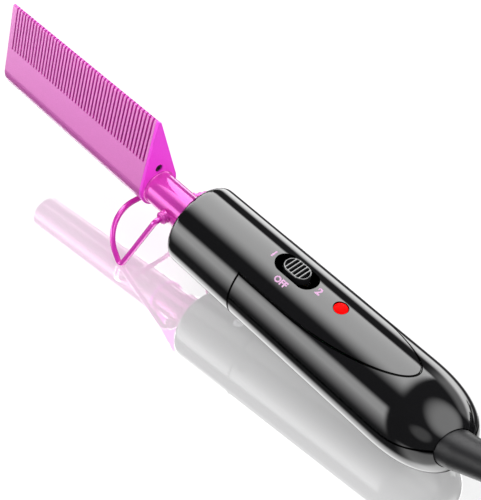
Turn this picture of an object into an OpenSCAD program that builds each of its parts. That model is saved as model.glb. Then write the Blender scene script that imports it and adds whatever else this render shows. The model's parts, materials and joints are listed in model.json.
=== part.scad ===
// Electric hot comb: a heated aluminium comb on a steel neck, a fold-away wire stand, and a hollow
// plastic handle that holds the slide switch, the pilot lamp, the circuit and the mains cord.
// Lengths are in millimetres. The tool has its own frame, with X along the handle from its front rim
// towards the comb, Y to the side and Z up through the teeth. in_tool() leans that frame back on the
// stand, and everything that lies on the table is placed in the outer frame.

/* [Handle] */
// Outer diameter of the handle
handle_d = 38; // [34:0.5:42]
// Length of the straight part of the handle
handle_straight = 112; // [108:1:122]
// Length of the rounded tail
tail_len = 31.5; // [27:0.5:36]
// Bluntness of the tail, 2 is an ellipse
tail_power = 2.4; // [2.1:0.1:2.8]
// Wall of the plastic shells
shell_wall = 2.2; // [1.8:0.1:2.5]
// Round of the front rim
rim_round = 2.9; // [1.5:0.1:3.5]
// Thickness of the wall that closes the front of the collar
front_wall = 3; // [2:0.1:4]
// Gap along the seams between the shells
seam = 0.3; // [0.2:0.05:0.4]
// Length of the collar, from the front rim to its rear seam
collar_len = 38.5; // [37:0.5:41]
// Half width of the leaf on top of the handle
leaf_half_w = 14; // [13:0.25:14.5]
// Length over which the leaf keeps its full width
leaf_straight = 22.5; // [18:0.5:26]
// Length over which the leaf narrows to its tip
leaf_curve = 54.4; // [52:0.2:56]
// Height of the side seam above the middle of the handle
split_z = 2.2; // [1.6:0.1:2.6]
// Height of the side seam where it meets the cord outlet
split_tail_z = 8.2; // [7:0.1:9]

/* [Comb] */
// Distance from the front rim to the back of the comb's flange
neck_len = 27.6; // [25:0.2:32]
// Length of the comb, with the flange of its neck
comb_len = 106.9; // [98:0.1:112]
// Radius of the comb's round back
back_r = 9.78; // [9.4:0.02:10.4]
// Height of the middle of the round back above the axis
back_z = 1.1; // [0.8:0.1:1.6]
// Height of the teeth's tips above the axis
tip_z = 35.93; // [32:0.01:38]
// Radius of the teeth's tips
tip_r = 0.96; // [0.8:0.02:1.2]
// Height at which the slits start
slit_z = 15.6; // [14.5:0.1:18]
// Width of a slit
slit_w = 1.05; // [0.9:0.05:1.2]
// Distance between the middles of two slits
slit_pitch = 2.215; // [2.1:0.005:2.4]
// Distance from the tip end to the middle of the first slit
slit_margin = 3.83; // [3:0.01:4.5]
// Diameter of the bore that holds the heater
heater_bore_d = 13; // [12.4:0.1:13.2]
// Depth of the heater bore in the comb
heater_bore_len = 84; // [78:1:86]
// Thickness of the flange between the comb and its neck
flange_t = 1.5; // [1.2:0.1:1.8]
// Outer diameter of the neck tube
neck_d = 15.46; // [15.2:0.02:16]
// Fillet where the neck meets its flange
neck_fillet = 3; // [2:0.1:4]
// Distance from the rim back to the neck's end inside the handle
neck_inside = 31; // [29:0.5:33]
// Height of the flange screw above the axis
screw_z = 11; // [10.7:0.1:11.6]
// Diameter of the hole for the flange screw
screw_hole_d = 2.8; // [2.6:0.1:3]

/* [Stand] */
// Lean of the tool when it rests on its stand, in degrees
tilt = 6.3; // [5:0.1:7.5]
// Diameter of the stand's wire
wire_d = 2.3; // [2:0.1:2.6]
// Distance from the front rim to the stand's pivot
pivot_s = 12; // [11.4:0.1:13]
// Distance from the front rim to the stand's feet
foot_s = 26.7; // [25:0.1:30]
// Half of the stand's width at its feet
foot_half_w = 22.4; // [21:0.1:24]
// Half of the stand's width at its pivot
pivot_half_w = 14.4; // [14:0.1:15.5]
// Angle of the arch above the handle's axis, in degrees
arch_angle = 61; // [56:0.5:66]
// Length of the arch up its own slope
arch_len = 24.8; // [22:0.1:26]
// Radius of the arch's two corners
arch_corner_r = 17; // [13:0.5:17.5]
// Thickness of the bracket's sheet metal
bracket_t = 1.2; // [1:0.1:1.4]
// Width of a bracket ear along the handle
ear_w = 4.8; // [4.6:0.1:5.4]
// Length of the bracket's band around the neck
band_len = 8; // [7:0.1:8.4]
// Radial clearance of the stand's wire in its ears
pivot_clear = 0.08; // [0.05:0.01:0.1]

/* [Switch and lamp] */
// Distance from the front rim to the middle of the switch
switch_s = 55.3; // [54:0.1:57]
// Half length of the recess around the switch
recess_half_len = 10; // [9.8:0.1:10.6]
// Half width of the recess around the switch
recess_half_w = 4.8; // [4.6:0.1:5]
// Height of the recess's floor above the axis
recess_floor_z = 16.7; // [16.4:0.1:17]
// Length of the switch's knob
knob_len = 11.5; // [11:0.1:11.8]
// Width of the switch's knob
knob_w = 7.8; // [7.2:0.1:8]
// Height of the knob's top above the axis
knob_top_z = 20.4; // [19.8:0.1:21]
// Travel of the knob to each side of its middle
knob_travel = 4; // [3.2:0.1:4]
// Number of ribs across the knob
knob_ribs = 6; // [4:1:7]
// Distance from the front rim to the pilot lamp
lamp_s = 78.2; // [77:0.1:80]
// Diameter of the lamp's lens
lens_d = 5.5; // [5:0.1:6]
// Clearance around sliding plastic parts
slide_clear = 0.3; // [0.25:0.05:0.4]

/* [Circuit] */
// Distance from the front rim to the front edge of the circuit board
board_s = 46.5; // [46.2:0.1:46.8]
// Length of the circuit board
board_len = 57; // [56:0.5:58]
// Width of the circuit board
board_w = 21; // [20:0.5:21]
// Thickness of the circuit board
board_t = 1.6; // [1.2:0.1:1.8]
// Height of the circuit board's underside above the axis
board_z = 5; // [4.6:0.1:5.2]
// Gap between parts that are set against each other
seat = 0.1; // [0.05:0.05:0.15]

/* [Cord] */
// Diameter of the mains cord
cord_d = 6; // [5.6:0.1:6.2]
// Diameter of the strain relief where it leaves the handle
relief_d = 14.8; // [14:0.1:15.2]
// Diameter of the strain relief's thin end
relief_end_d = 8.4; // [8:0.1:9]
// Distance from the front rim to the middle of the cord outlet
outlet_s = 141.5; // [141:0.1:142]
// Distance of the cord outlet from the middle plane
outlet_y = 5; // [4.5:0.1:5.5]
// Height of the cord outlet above the axis
outlet_z = 7; // [6.5:0.1:7.5]
// Angle of the cord outlet above the axis, in degrees
outlet_pitch = 25.5; // [24:0.5:27]
// Diameter of the plug's pins
pin_d = 4; // [3.9:0.02:4.1]
// Free length of the plug's pins
pin_len = 19; // [18:0.1:20]
// Distance between the plug's pins
pin_gap = 18.6; // [17.6:0.1:19]
// Thickness of the plug
plug_t = 13.6; // [13:0.1:14.4]
// Width of the plug at its pins
plug_w = 35.3; // [34:0.1:36]
// Length of the plug's body
plug_len = 33; // [31:0.5:34]

/* [Hidden] */
eps = 0.01;
far = 400;
round_fn = 96;
small_fn = 32;

// Handle, worked out
handle_r = handle_d / 2;
inner_r = handle_r - shell_wall;
tail_steps = 14;
handle_len = handle_straight + tail_len;
neck_r = neck_d / 2;
neck_bore_r = heater_bore_d / 2;
comb_end = neck_len + comb_len;
flange_front = neck_len + flange_t;
wire_r = wire_d / 2;

// Radius and station of a point on the tail, for the angle a, with all sizes reduced by inset
function tail_point(a, inset) = [
    (handle_r - inset) * pow(cos(a), 2 / tail_power),
    -handle_straight - (tail_len - inset) * pow(sin(a), 2 / tail_power)
];
function tail_curve(inset) = [
    for (i = [0 : tail_steps - 1]) tail_point(90 * i / tail_steps, inset),
    [0, -handle_straight - tail_len + inset]
];

// The tail and the front rim, as points in the tool's frame that could touch the table or set the length
tail_outline = tail_curve(0);
rest_h = max([for (p = tail_outline) p[0] * cos(tilt) - p[1] * sin(tilt)]);
x_back = min([for (p = tail_outline) p[1] * cos(tilt) - p[0] * sin(tilt)]);
x_front = comb_end * cos(tilt) + (back_r - back_z) * sin(tilt);
rim_x = -(x_front + x_back) / 2;

module in_tool() {
    translate([rim_x, 0, rest_h]) rotate([0, -tilt, 0]) children();
}
// A point of the tool's frame, in the outer frame
function to_world(p) = [
    rim_x + p[0] * cos(tilt) - p[2] * sin(tilt), p[1], rest_h + p[0] * sin(tilt) + p[2] * cos(tilt)
];

// Shapes along the handle's axis ------------------------------------------------------------

// A bar or ring along the axis, from station s0 to s1
module rod(s0, s1, r, fn = round_fn) {
    translate([s0, 0, 0]) rotate([0, 90, 0]) cylinder(h = s1 - s0, r = r, $fn = fn);
}
module ring(s0, s1, r_in, r_out) {
    difference() {
        rod(s0, s1, r_out);
        rod(s0 - 1, s1 + 1, r_in);
    }
}
// A box between two corners
module block(a, b) {
    translate(a) cube(b - a);
}
// An upright cylinder at station s
module post(s, y, z0, z1, r, fn = small_fn) {
    translate([s, y, z0]) cylinder(h = z1 - z0, r = r, $fn = fn);
}
// A slot shape with round ends, in plan, standing upright
module stadium(s, half_len, half_w, z0, z1) {
    translate([s, 0, z0]) linear_extrude(z1 - z0) union() {
        square([2 * (half_len - half_w), 2 * half_w], center = true);
        for (side = [-1, 1])
            translate([side * (half_len - half_w), 0]) circle(r = half_w, $fn = 48);
    }
}

// Comb ---------------------------------------------------------------------------------------

// Teardrop section of the comb: its round back, its narrow tip and the flat flanks tangent to both
flank_lean = asin((back_r - tip_r) / (tip_z - tip_r - back_z));
module teardrop(grow = 0) {
    tip_mid = tip_z - tip_r;
    union() {
        translate([0, back_z]) circle(r = back_r + grow, $fn = round_fn);
        translate([0, tip_mid]) circle(r = tip_r + grow, $fn = small_fn);
        polygon([
            [(back_r + grow) * cos(flank_lean), back_z + (back_r + grow) * sin(flank_lean)],
            [(tip_r + grow) * cos(flank_lean), tip_mid + (tip_r + grow) * sin(flank_lean)],
            [-(tip_r + grow) * cos(flank_lean), tip_mid + (tip_r + grow) * sin(flank_lean)],
            [-(back_r + grow) * cos(flank_lean), back_z + (back_r + grow) * sin(flank_lean)]
        ]);
    }
}
module teardrop_bar(s0, s1) {
    translate([s0, 0, 0]) rotate([90, 0, 90]) linear_extrude(s1 - s0) teardrop();
}

slit_count = floor((comb_len - flange_t - slit_margin - slit_w) / slit_pitch) + 1;
heater_end = flange_front + heater_bore_len;
flange_screw_len = 9;

module comb_head() color("orchid") in_tool() {
    difference() {
        teardrop_bar(flange_front, comb_end);
        for (i = [0 : slit_count - 1])
            block([comb_end - slit_margin - i * slit_pitch - slit_w / 2, -back_r, slit_z],
                  [comb_end - slit_margin - i * slit_pitch + slit_w / 2, back_r, tip_z + 1]);
        rod(flange_front - 1, heater_end, neck_bore_r);
        translate([0, 0, screw_z]) rod(flange_front - 1, flange_front + flange_screw_len, screw_hole_d / 2);
    }
}

// Profile of the fillet between the tube and its flange, in radius and station
fillet_steps = 8;
module neck_fillet_ring() {
    translate([neck_len, 0, 0]) rotate([0, 90, 0]) rotate_extrude($fn = round_fn) polygon(concat(
        [[neck_r - 0.5, eps], [neck_r - 0.5, -neck_fillet]],
        [for (i = [0 : fillet_steps]) [
            neck_r + neck_fillet - neck_fillet * cos(90 * i / fillet_steps),
            -neck_fillet + neck_fillet * sin(90 * i / fillet_steps)]],
        [[neck_r + neck_fillet, eps]]
    ));
}
module neck_tube() color("mediumvioletred") in_tool() {
    difference() {
        union() {
            rod(-neck_inside, neck_len + eps, neck_r);
            teardrop_bar(neck_len, flange_front);
            intersection() {
                neck_fillet_ring();
                teardrop_bar(neck_len - neck_fillet - 1, flange_front);
            }
        }
        rod(-neck_inside - 1, flange_front + 1, neck_bore_r);
        translate([0, 0, screw_z]) rod(neck_len - 1, flange_front + 1, screw_hole_d / 2);
    }
}

// The screw is sunk in its hole and leaves a dark mouth behind it
screw_sink = 1.2;
module flange_screw() color("dimgray") in_tool() {
    translate([0, 0, screw_z]) difference() {
        rod(neck_len + screw_sink, flange_front + flange_screw_len - 1, screw_hole_d / 2 - seat / 2);
        rod(neck_len + screw_sink - 1, neck_len + screw_sink + 1.2, 0.75, 6);
    }
}

// Heater: a flat element between two half-round shoes that fill the bore
element_t = 3.2;
element_w = 9;
heater_start = neck_len + 6;
heater_tail = heater_end - 4;
shoe_r = neck_bore_r - seat;

module heater_element() color("ivory") in_tool() {
    block([heater_start + 4, -element_w / 2, -element_t / 2],
          [heater_tail - 4, element_w / 2, element_t / 2]);
}
module heater_shoe(side) {
    intersection() {
        rod(heater_start, heater_tail, shoe_r);
        block([heater_start - 1, -shoe_r - 1, side > 0 ? element_t / 2 + seat / 2 : -shoe_r - 1],
              [heater_tail + 1, shoe_r + 1, side > 0 ? shoe_r + 1 : -element_t / 2 - seat / 2]);
    }
}
module heater_shoe_upper() color("silver") in_tool() heater_shoe(1);
module heater_shoe_lower() color("silver") in_tool() heater_shoe(-1);

// The fuse lies on the bottom of the neck's bore, close behind the lower shoe
fuse_r = 1.7;
fuse_len = 11;
module thermal_fuse() color("goldenrod") in_tool() {
    translate([0, 0, -neck_bore_r + fuse_r + seat * 2])
        rod(heater_start - 2 - fuse_len, heater_start - 2, fuse_r, small_fn);
}

// Two sleeved leads from the element back to the heater terminal
lead_r = 0.9;
lead_y = 2.4;
lead_z = 0.4;
terminal_z0 = -3;
terminal_len = 8;
module heater_leads() color("white") in_tool() {
    for (side = [-1, 1])
        translate([0, side * lead_y, lead_z])
            rod(-board_s - 1, heater_start + 4 - seat, lead_r, small_fn);
}

// Stand --------------------------------------------------------------------------------------

band_in = neck_r + seat;
band_out = band_in + bracket_t;
band_front = pivot_s - ear_w / 2;
ear_top = 4.7;
// Depth of the ear's straight part below the pivot
ear_drop = 1.6;
ear_y0 = band_in + 0.3;
ear_y1 = band_out + 1.5;
stop_gap = 0.3;
stop_reach = 3.6;
lacquer_t = 0.03;
foot_bend_r = 1.6;
// The foot's bend stands on the table, so the corner of its two straight lines lies a little below
foot_low = -(rest_h + foot_s * sin(tilt) - wire_r - lacquer_t) / cos(tilt);
arch_up = [cos(arch_angle), 0, sin(arch_angle)];
leg_run = [foot_s - pivot_s, foot_half_w - pivot_half_w, foot_low];
leg_dir = leg_run / norm(leg_run);
bend_up = (arch_up - leg_dir) / norm(arch_up - leg_dir);
bend_side = cross(leg_dir, arch_up) / norm(cross(leg_dir, arch_up));
table_up = [sin(tilt), 0, cos(tilt)];
foot_sag = foot_bend_r * (bend_up * table_up / sin(acos(-leg_dir * arch_up) / 2)
    - sqrt(1 - pow(bend_side * table_up, 2)));
foot_z = foot_low - foot_sag / cos(tilt);
leg_lean = atan((foot_s - pivot_s) / -foot_z);
pivot_hole_r = wire_r + pivot_clear;
// Height up to which the band grips the neck
band_grip_z = 2;

module stand_bracket() color("mediumvioletred") in_tool() {
    difference() {
        union() {
            intersection() {
                ring(band_front - band_len, pivot_s + ear_w / 2, band_in, band_out);
                block([band_front - band_len - 1, -far, -far], [pivot_s + ear_w, far, band_grip_z]);
            }
            for (side = [-1, 1]) mirror([0, side > 0 ? 0 : 1, 0]) {
                // Ear: a plate with a round foot, folded out from the band
                block([pivot_s - ear_w / 2, ear_y0, -ear_drop], [pivot_s + ear_w / 2, ear_y1, ear_top]);
                translate([pivot_s, ear_y1, -ear_drop]) rotate([90, 0, 0])
                    cylinder(h = ear_y1 - ear_y0, r = ear_w / 2, $fn = round_fn);
                // Lug ahead of the leg, which stops the stand where it carries the tool
                translate([pivot_s, 0, 0]) rotate([0, -leg_lean, 0])
                    block([wire_r + stop_gap, ear_y1 - 1, -stop_reach],
                          [wire_r + stop_gap + bracket_t, pivot_half_w + 1, -stop_reach + ear_w / 2]);
            }
        }
        rod(band_front - band_len - 2, pivot_s + ear_w, band_in);
        for (side = [-1, 1]) mirror([0, side > 0 ? 0 : 1, 0])
            translate([pivot_s, ear_y1 + 1, 0]) rotate([90, 0, 0])
                cylinder(h = ear_y1 + 1, r = pivot_hole_r, $fn = round_fn);
        rivet_hole();
    }
}
rivet_s = band_front - band_len / 2;
rivet_r = 1.2;
module rivet_hole() {
    post(rivet_s, 0, -far, -1, rivet_r + seat / 2);
}
module bracket_rivet() color("mediumvioletred") in_tool() {
    union() {
        post(rivet_s, 0, -band_out - 0.4, -band_in, rivet_r);
        post(rivet_s, 0, -band_out - 1, -band_out - seat, rivet_r * 1.9);
    }
}

// Wire: from the ear out to the leg, down to the foot, and up the arch to the middle. The lacquer makes
// it a little thicker than its bare pivot ends.
wire_end_y = band_in + 0.45;
pivot_bend_r = 2.4;
pivot_p = [pivot_s, pivot_half_w, 0];
foot_p = [foot_s, foot_half_w, foot_z];
arch_p = foot_p + arch_len * arch_up;

// Points of a bend of radius r at the corner q, on the way from p to n
function bend(p, q, n, r, steps) = let (
    a = (p - q) / norm(p - q), b = (n - q) / norm(n - q), half = acos(a * b) / 2,
    mid = q + (a + b) / norm(a + b) * r / sin(half), u = (q + a * r / tan(half) - mid) / r
) [for (i = [0 : steps]) let (t = (180 - 2 * half) * i / steps) mid + r * (cos(t) * u - sin(t) * a)];

wire_start = [pivot_s, ear_y1 + 0.6, 0];
wire_half = concat(
    [wire_start],
    bend(wire_start, pivot_p, foot_p, pivot_bend_r, 5),
    bend(pivot_p, foot_p, arch_p, foot_bend_r, 9),
    bend(foot_p, arch_p, arch_p - [0, foot_half_w, 0], arch_corner_r, 9)
);
wire_route = concat(wire_half, [for (i = [len(wire_half) - 1 : -1 : 0])
    [wire_half[i][0], -wire_half[i][1], wire_half[i][2]]]);
module stand_wire() color("mediumvioletred") in_tool() {
    union() {
        tube(wire_route, same(len(wire_route), wire_r + lacquer_t), 16);
        for (side = [-1, 1]) mirror([0, side > 0 ? 0 : 1, 0])
            translate([pivot_s, wire_end_y, 0]) rotate([-90, 0, 0])
                cylinder(h = wire_start[1] + 0.9 - wire_end_y, r = wire_r, $fn = small_fn);
    }
}

// Shells -------------------------------------------------------------------------------------

rim_steps = 6;
module handle_outer() {
    rotate([0, 90, 0]) rotate_extrude($fn = round_fn) polygon(concat(
        [[0, 0]],
        [for (i = [0 : rim_steps]) [
            handle_r - rim_round + rim_round * sin(90 * i / rim_steps),
            -rim_round + rim_round * cos(90 * i / rim_steps)]],
        tail_curve(0)
    ));
}
module handle_cavity(gap = 0) {
    rotate([0, 90, 0]) rotate_extrude($fn = round_fn) polygon(concat(
        [[0, -front_wall], [inner_r - gap, -front_wall]],
        tail_curve(shell_wall + gap)
    ));
}
module handle_wall() {
    difference() {
        handle_outer();
        handle_cavity();
    }
}

// Plan of the leaf: straight sides, then a half ellipse to its tip. grow widens it for the seam.
leaf_steps = 18;
module leaf_plan(grow) {
    shoulder = -collar_len - leaf_straight;
    polygon(concat(
        [[-collar_len + 1, -leaf_half_w - grow]],
        [for (i = [0 : 2 * leaf_steps]) [
            shoulder - (leaf_curve + grow) * sin(90 * i / leaf_steps),
            -(leaf_half_w + grow) * cos(90 * i / leaf_steps)]],
        [[-collar_len + 1, leaf_half_w + grow]]
    ));
}
// The side seam as seen from the side: level, then rising to the cord outlet
split_level_end = 120;
split_outline = [
    [-split_level_end, split_z], [-split_level_end - 4, split_z + 0.4],
    [-split_level_end - 9, split_z + (split_tail_z - split_z) * 0.42],
    [-split_level_end - 14, split_z + (split_tail_z - split_z) * 0.72],
    [-split_level_end - 19, split_tail_z], [-handle_len - 9, split_tail_z + 1]
];
// Everything below the side seam, lowered by drop
module below_split(drop) {
    translate([0, far / 2, 0]) rotate([90, 0, 0]) linear_extrude(far) polygon(concat(
        [[0, -far], [0, split_z - drop]],
        [for (p = split_outline) [p[0], p[1] - drop]],
        [[-handle_len - 9, -far]]
    ));
}
module cord_outlet(extra) {
    in_outlet() translate([0, 0, -12]) cylinder(h = 40, r = relief_d / 2 + extra, $fn = round_fn);
}
// Frame of the cord outlet, with Z out along the cord
module in_outlet() {
    translate([-outlet_s, outlet_y, outlet_z]) rotate([0, outlet_pitch - 90, 0]) children();
}

// Screws that hold the rear and bottom shells together: station, side
front_screw = [43.5, 12.4];
tail_screw = [110, 11.6];
screw_spots = [for (p = [front_screw, tail_screw], side = [-1, 1]) [p[0], side * p[1]]];
screw_r = 1.3;
screw_head_r = 2.6;
boss_r = 3.9;
front_seat_z = -6;
tail_seat_z = -8;
function seat_of(p) = p[0] < 80 ? front_seat_z : tail_seat_z;

well_wall = 1.6;
module top_shell() color("#101012") in_tool() {
    slot_half_w = stem_w / 2 + slide_clear;
    slot_half_len = stem_len / 2 + knob_travel + slide_clear;
    pad_half_len = recess_half_len + well_wall;
    pad_half_w = recess_half_w + well_wall;
    difference() {
        union() {
            intersection() {
                handle_wall();
                union() {
                    block([-collar_len, -far, -far], [1, far, far]);
                    translate([0, 0, split_z]) linear_extrude(far) leaf_plan(0);
                }
            }
            // Pad that backs the switch's recess
            intersection() {
                block([-switch_s - pad_half_len, -pad_half_w, recess_floor_z - well_wall],
                      [-switch_s + pad_half_len, pad_half_w, handle_r]);
                handle_cavity(-0.4);
            }
        }
        stadium(-switch_s, recess_half_len, recess_half_w, recess_floor_z, handle_r + 1);
        block([-switch_s - slot_half_len, -slot_half_w, inner_r - 5],
              [-switch_s + slot_half_len, slot_half_w, handle_r]);
        post(-lamp_s, 0, inner_r - 5, handle_r + 1, lens_d / 2 + seat, round_fn);
        rod(-front_wall - 1, 1, neck_r + seat);
        post(-neck_screw_s, 0, -far, -neck_r - 1.2, screw_r + seat);
        post(-neck_screw_s, 0, -far, -handle_r + 1.2, screw_head_r + seat);
    }
}
module rear_shell() color("#101012") in_tool() {
    difference() {
        union() {
            difference() {
                handle_wall();
                below_split(0);
            }
            // Lugs and posts that take the housing screws
            intersection() {
                union() {
                    for (side = [-1, 1]) mirror([0, side > 0 ? 0 : 1, 0]) {
                        block([-front_screw[0] - 2.6, front_screw[1] - 2.4, split_z + seam],
                              [-front_screw[0] + 2.6, handle_r, split_z + 5.5]);
                        post(-tail_screw[0], tail_screw[1], split_z + seam, handle_r, 2.4);
                    }
                }
                handle_cavity(-0.6);
            }
        }
        block([-collar_len - seam, -far, -far], [1, far, far]);
        translate([0, 0, split_z]) linear_extrude(far) leaf_plan(seam);
        cord_outlet(seat);
        for (p = screw_spots) post(-p[0], p[1], -far, split_z + 4.6, screw_r - 0.15);
    }
}
post_stations = [board_s + 4, board_s + board_len - 12];
board_posts = [for (s = post_stations, side = [-1, 1]) [s, side * (board_w / 2 - 2.6)]];
// Radius of the holes that the small screws cut their thread in
pilot_r = 0.85;
clamp_s = 124;
module bottom_shell() color("#101012") in_tool() {
    difference() {
        union() {
            intersection() {
                handle_wall();
                below_split(seam);
            }
            // Screw towers, board posts and the cord's saddle
            intersection() {
                union() {
                    for (p = screw_spots) post(-p[0], p[1], -far, split_z - seam, boss_r);
                    for (p = board_posts) post(-p[0], p[1], -far, board_z - seat, 2);
                    block([-clamp_s - 3, outlet_y - 9.5, -far], [-clamp_s + 3, outlet_y + 5.5, saddle_z]);
                }
                handle_cavity(-0.6);
            }
        }
        block([-collar_len - seam, -far, -far], [1, far, far]);
        cord_outlet(seat);
        for (p = screw_spots) {
            post(-p[0], p[1], -far, split_z + 1, screw_r + seat);
            post(-p[0], p[1], -far, seat_of(p), screw_head_r + seat);
        }
        for (p = board_posts) post(-p[0], p[1], board_z - 7, board_z + 1, pilot_r);
        for (y = clamp_screw_y) post(-clamp_s, y, saddle_z - 6, saddle_z + 1, pilot_r);
        cord_lane(seat);
    }
}

// Bushes that hold the neck in the collar, and the screw that locks the rear one
bush_len = 6;
neck_screw_s = neck_inside - bush_len / 2 - 1;
module bush(s0) {
    ring(s0 - bush_len, s0, neck_r + seat, inner_r - seat);
}
module front_bush() color("peru") in_tool() bush(-front_wall - seat);
module rear_bush() color("peru") in_tool() {
    difference() {
        bush(-neck_screw_s + bush_len / 2);
        post(-neck_screw_s, 0, -far, -neck_r - 1, screw_r - 0.15);
    }
}
module neck_screw() color("silver") in_tool() {
    difference() {
        union() {
            post(-neck_screw_s, 0, -handle_r + 0.4, -handle_r + 1.1, screw_head_r);
            post(-neck_screw_s, 0, -handle_r + 1, -neck_r - 1.6, screw_r - 0.2);
        }
        block([-neck_screw_s - 1.8, -0.3, -handle_r], [-neck_screw_s + 1.8, 0.3, -handle_r + 0.8]);
        block([-neck_screw_s - 0.3, -1.8, -handle_r], [-neck_screw_s + 0.3, 1.8, -handle_r + 0.8]);
    }
}
module housing_screws() color("silver") in_tool() {
    for (p = screw_spots) difference() {
        union() {
            post(-p[0], p[1], seat_of(p) - 2, seat_of(p) - seat, screw_head_r);
            post(-p[0], p[1], seat_of(p) - 1, split_z + 4.2, screw_r - 0.2);
        }
        block([-p[0] - 1.8, p[1] - 0.3, seat_of(p) - 3], [-p[0] + 1.8, p[1] + 0.3, seat_of(p) - 1.2]);
        block([-p[0] - 0.3, p[1] - 1.8, seat_of(p) - 3], [-p[0] + 0.3, p[1] + 1.8, seat_of(p) - 1.2]);
    }
}

// Circuit ------------------------------------------------------------------------------------

board_top = board_z + board_t;
board_end = board_s + board_len;
lamp_leg_y = 1.27;
module circuit_board() color("seagreen") in_tool() {
    difference() {
        block([-board_end, -board_w / 2, board_z], [-board_s, board_w / 2, board_top]);
        for (p = board_posts) post(-p[0], p[1], board_z - 1, board_top + 1, 1.2);
        for (side = [-1, 1]) post(-lamp_s, side * lamp_leg_y, board_z - 1, board_top + 1, 0.45);
    }
}
module board_screws() color("silver") in_tool() {
    for (p = board_posts) difference() {
        union() {
            post(-p[0], p[1], board_z - 5, board_top + 0.2, 0.8);
            post(-p[0], p[1], board_top + seat, board_top + 1.5, 2);
        }
        block([-p[0] - 1.5, p[1] - 0.25, board_top + 0.9], [-p[0] + 1.5, p[1] + 0.25, board_top + 2]);
    }
}

// Slide switch: a fixed body on the board, a slider with its stem inside it, and the knob on the stem
stem_len = 3.2;
stem_w = 2.4;
switch_half_len = 10.4;
switch_half_w = 5;
switch_top = recess_floor_z - well_wall - seat;
slider_len = 9;
slider_half_w = 3.4;
slider_top = switch_top - 1.2;
slider_bottom = board_top + 1.4;
module switch_body() color("dimgray") in_tool() {
    slot_reach = knob_travel + slide_clear;
    difference() {
        block([-switch_s - switch_half_len, -switch_half_w, board_top + seat],
              [-switch_s + switch_half_len, switch_half_w, switch_top]);
        block([-switch_s - slider_len / 2 - slot_reach, -slider_half_w - slide_clear, slider_bottom - 0.2],
              [-switch_s + slider_len / 2 + slot_reach, slider_half_w + slide_clear, slider_top + 0.2]);
        block([-switch_s - stem_len / 2 - slot_reach, -stem_w / 2 - slide_clear, slider_top],
              [-switch_s + stem_len / 2 + slot_reach, stem_w / 2 + slide_clear, switch_top + 1]);
    }
}
module switch_slider() color("gold") in_tool() {
    union() {
        block([-switch_s - slider_len / 2, -slider_half_w, slider_bottom],
              [-switch_s + slider_len / 2, slider_half_w, slider_top]);
        block([-switch_s - stem_len / 2, -stem_w / 2, slider_top - 0.5],
              [-switch_s + stem_len / 2, stem_w / 2, knob_base + 1.6]);
    }
}
knob_base = recess_floor_z + 0.25;
groove_half_w = 0.35;
groove_depth = 0.7;
knob_rim = 0.8;
module switch_knob() color("#1c1c20") in_tool() {
    rib_step = (knob_len - 4) / knob_ribs;
    difference() {
        stadium(-switch_s, knob_len / 2, knob_w / 2, knob_base, knob_top_z);
        for (i = [0 : knob_ribs])
            translate([-switch_s + (i - knob_ribs / 2) * rib_step, 0, knob_top_z])
                block([-groove_half_w, -knob_w / 2 + knob_rim, -groove_depth],
                      [groove_half_w, knob_w / 2 - knob_rim, 1]);
        block([-switch_s - stem_len / 2 - seat / 2, -stem_w / 2 - seat / 2, knob_base - 1],
              [-switch_s + stem_len / 2 + seat / 2, stem_w / 2 + seat / 2, knob_base + 1.7]);
    }
}

// Pilot lamp on its two legs, and the lens over it
lamp_r = 2.3;
lens_flange_z = inner_r - 1.1;
module lamp() color("#ff5050") in_tool() {
    union() {
        post(-lamp_s, 0, board_top + 3, lens_flange_z - lamp_r - 0.3, lamp_r);
        translate([-lamp_s, 0, lens_flange_z - lamp_r - 0.3]) sphere(r = lamp_r, $fn = small_fn);
        for (side = [-1, 1]) post(-lamp_s, side * lamp_leg_y, board_z + 0.2, board_top + 3.2, 0.3);
    }
}
lens_top = handle_r + 0.5;
lens_dome_r = (pow(lens_d / 2, 2) + 1) / 2;
module lamp_lens() color("red") in_tool() {
    union() {
        intersection() {
            post(-lamp_s, 0, lens_flange_z, lens_top + 1, lens_d / 2, round_fn);
            translate([-lamp_s, 0, lens_top - lens_dome_r]) sphere(r = lens_dome_r, $fn = round_fn);
        }
        intersection() {
            post(-lamp_s, 0, lens_flange_z, handle_r - 0.7, lens_d / 2, round_fn);
            handle_outer();
        }
        post(-lamp_s, 0, lens_flange_z, inner_r - 0.45, lens_d / 2 + 0.8, round_fn);
    }
}

module across(s, y0, y1, z, r) {
    translate([-s, y0, z]) rotate([-90, 0, 0]) cylinder(h = y1 - y0, r = r, $fn = small_fn);
}
diode_s = 71;
module power_diode() color("#202020") in_tool() {
    union() {
        across(diode_s, -4.5, 4.5, board_top + 2.7, 2.6);
        for (side = [-1, 1]) across(diode_s, side * 6 - 1.6, side * 6 + 1.6, board_top + 2.7, 0.6);
        for (side = [-1, 1]) post(-diode_s, side * 7, board_top, board_top + 3.3, 0.6);
    }
}
module lamp_resistors() color("tan") in_tool() {
    for (s = [84, 97]) union() {
        across(s, -3.2, 3.2, board_top + 1.5, 1.2);
        for (side = [-1, 1]) across(s, side * 4.2 - 1.1, side * 4.2 + 1.1, board_top + 1.5, 0.35);
        for (side = [-1, 1]) post(-s, side * 5, board_top, board_top + 1.85, 0.35);
    }
}
module capacitor() color("goldenrod") in_tool() {
    block([-88, -4, board_z - 11], [-71, 4, board_z - seat]);
}
module heater_terminal() color("lightgray") in_tool() {
    difference() {
        block([-board_s - terminal_len, -5.5, terminal_z0], [-board_s, 5.5, board_z - seat]);
        for (side = [-1, 1]) translate([0, side * lead_y, lead_z])
            rod(-board_s - 6, 1, lead_r + seat, small_fn);
    }
}
mains_y = outlet_y;
mains_z = -2;
mains_lead_y = 1.6;
mains_stop = 117;
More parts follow.
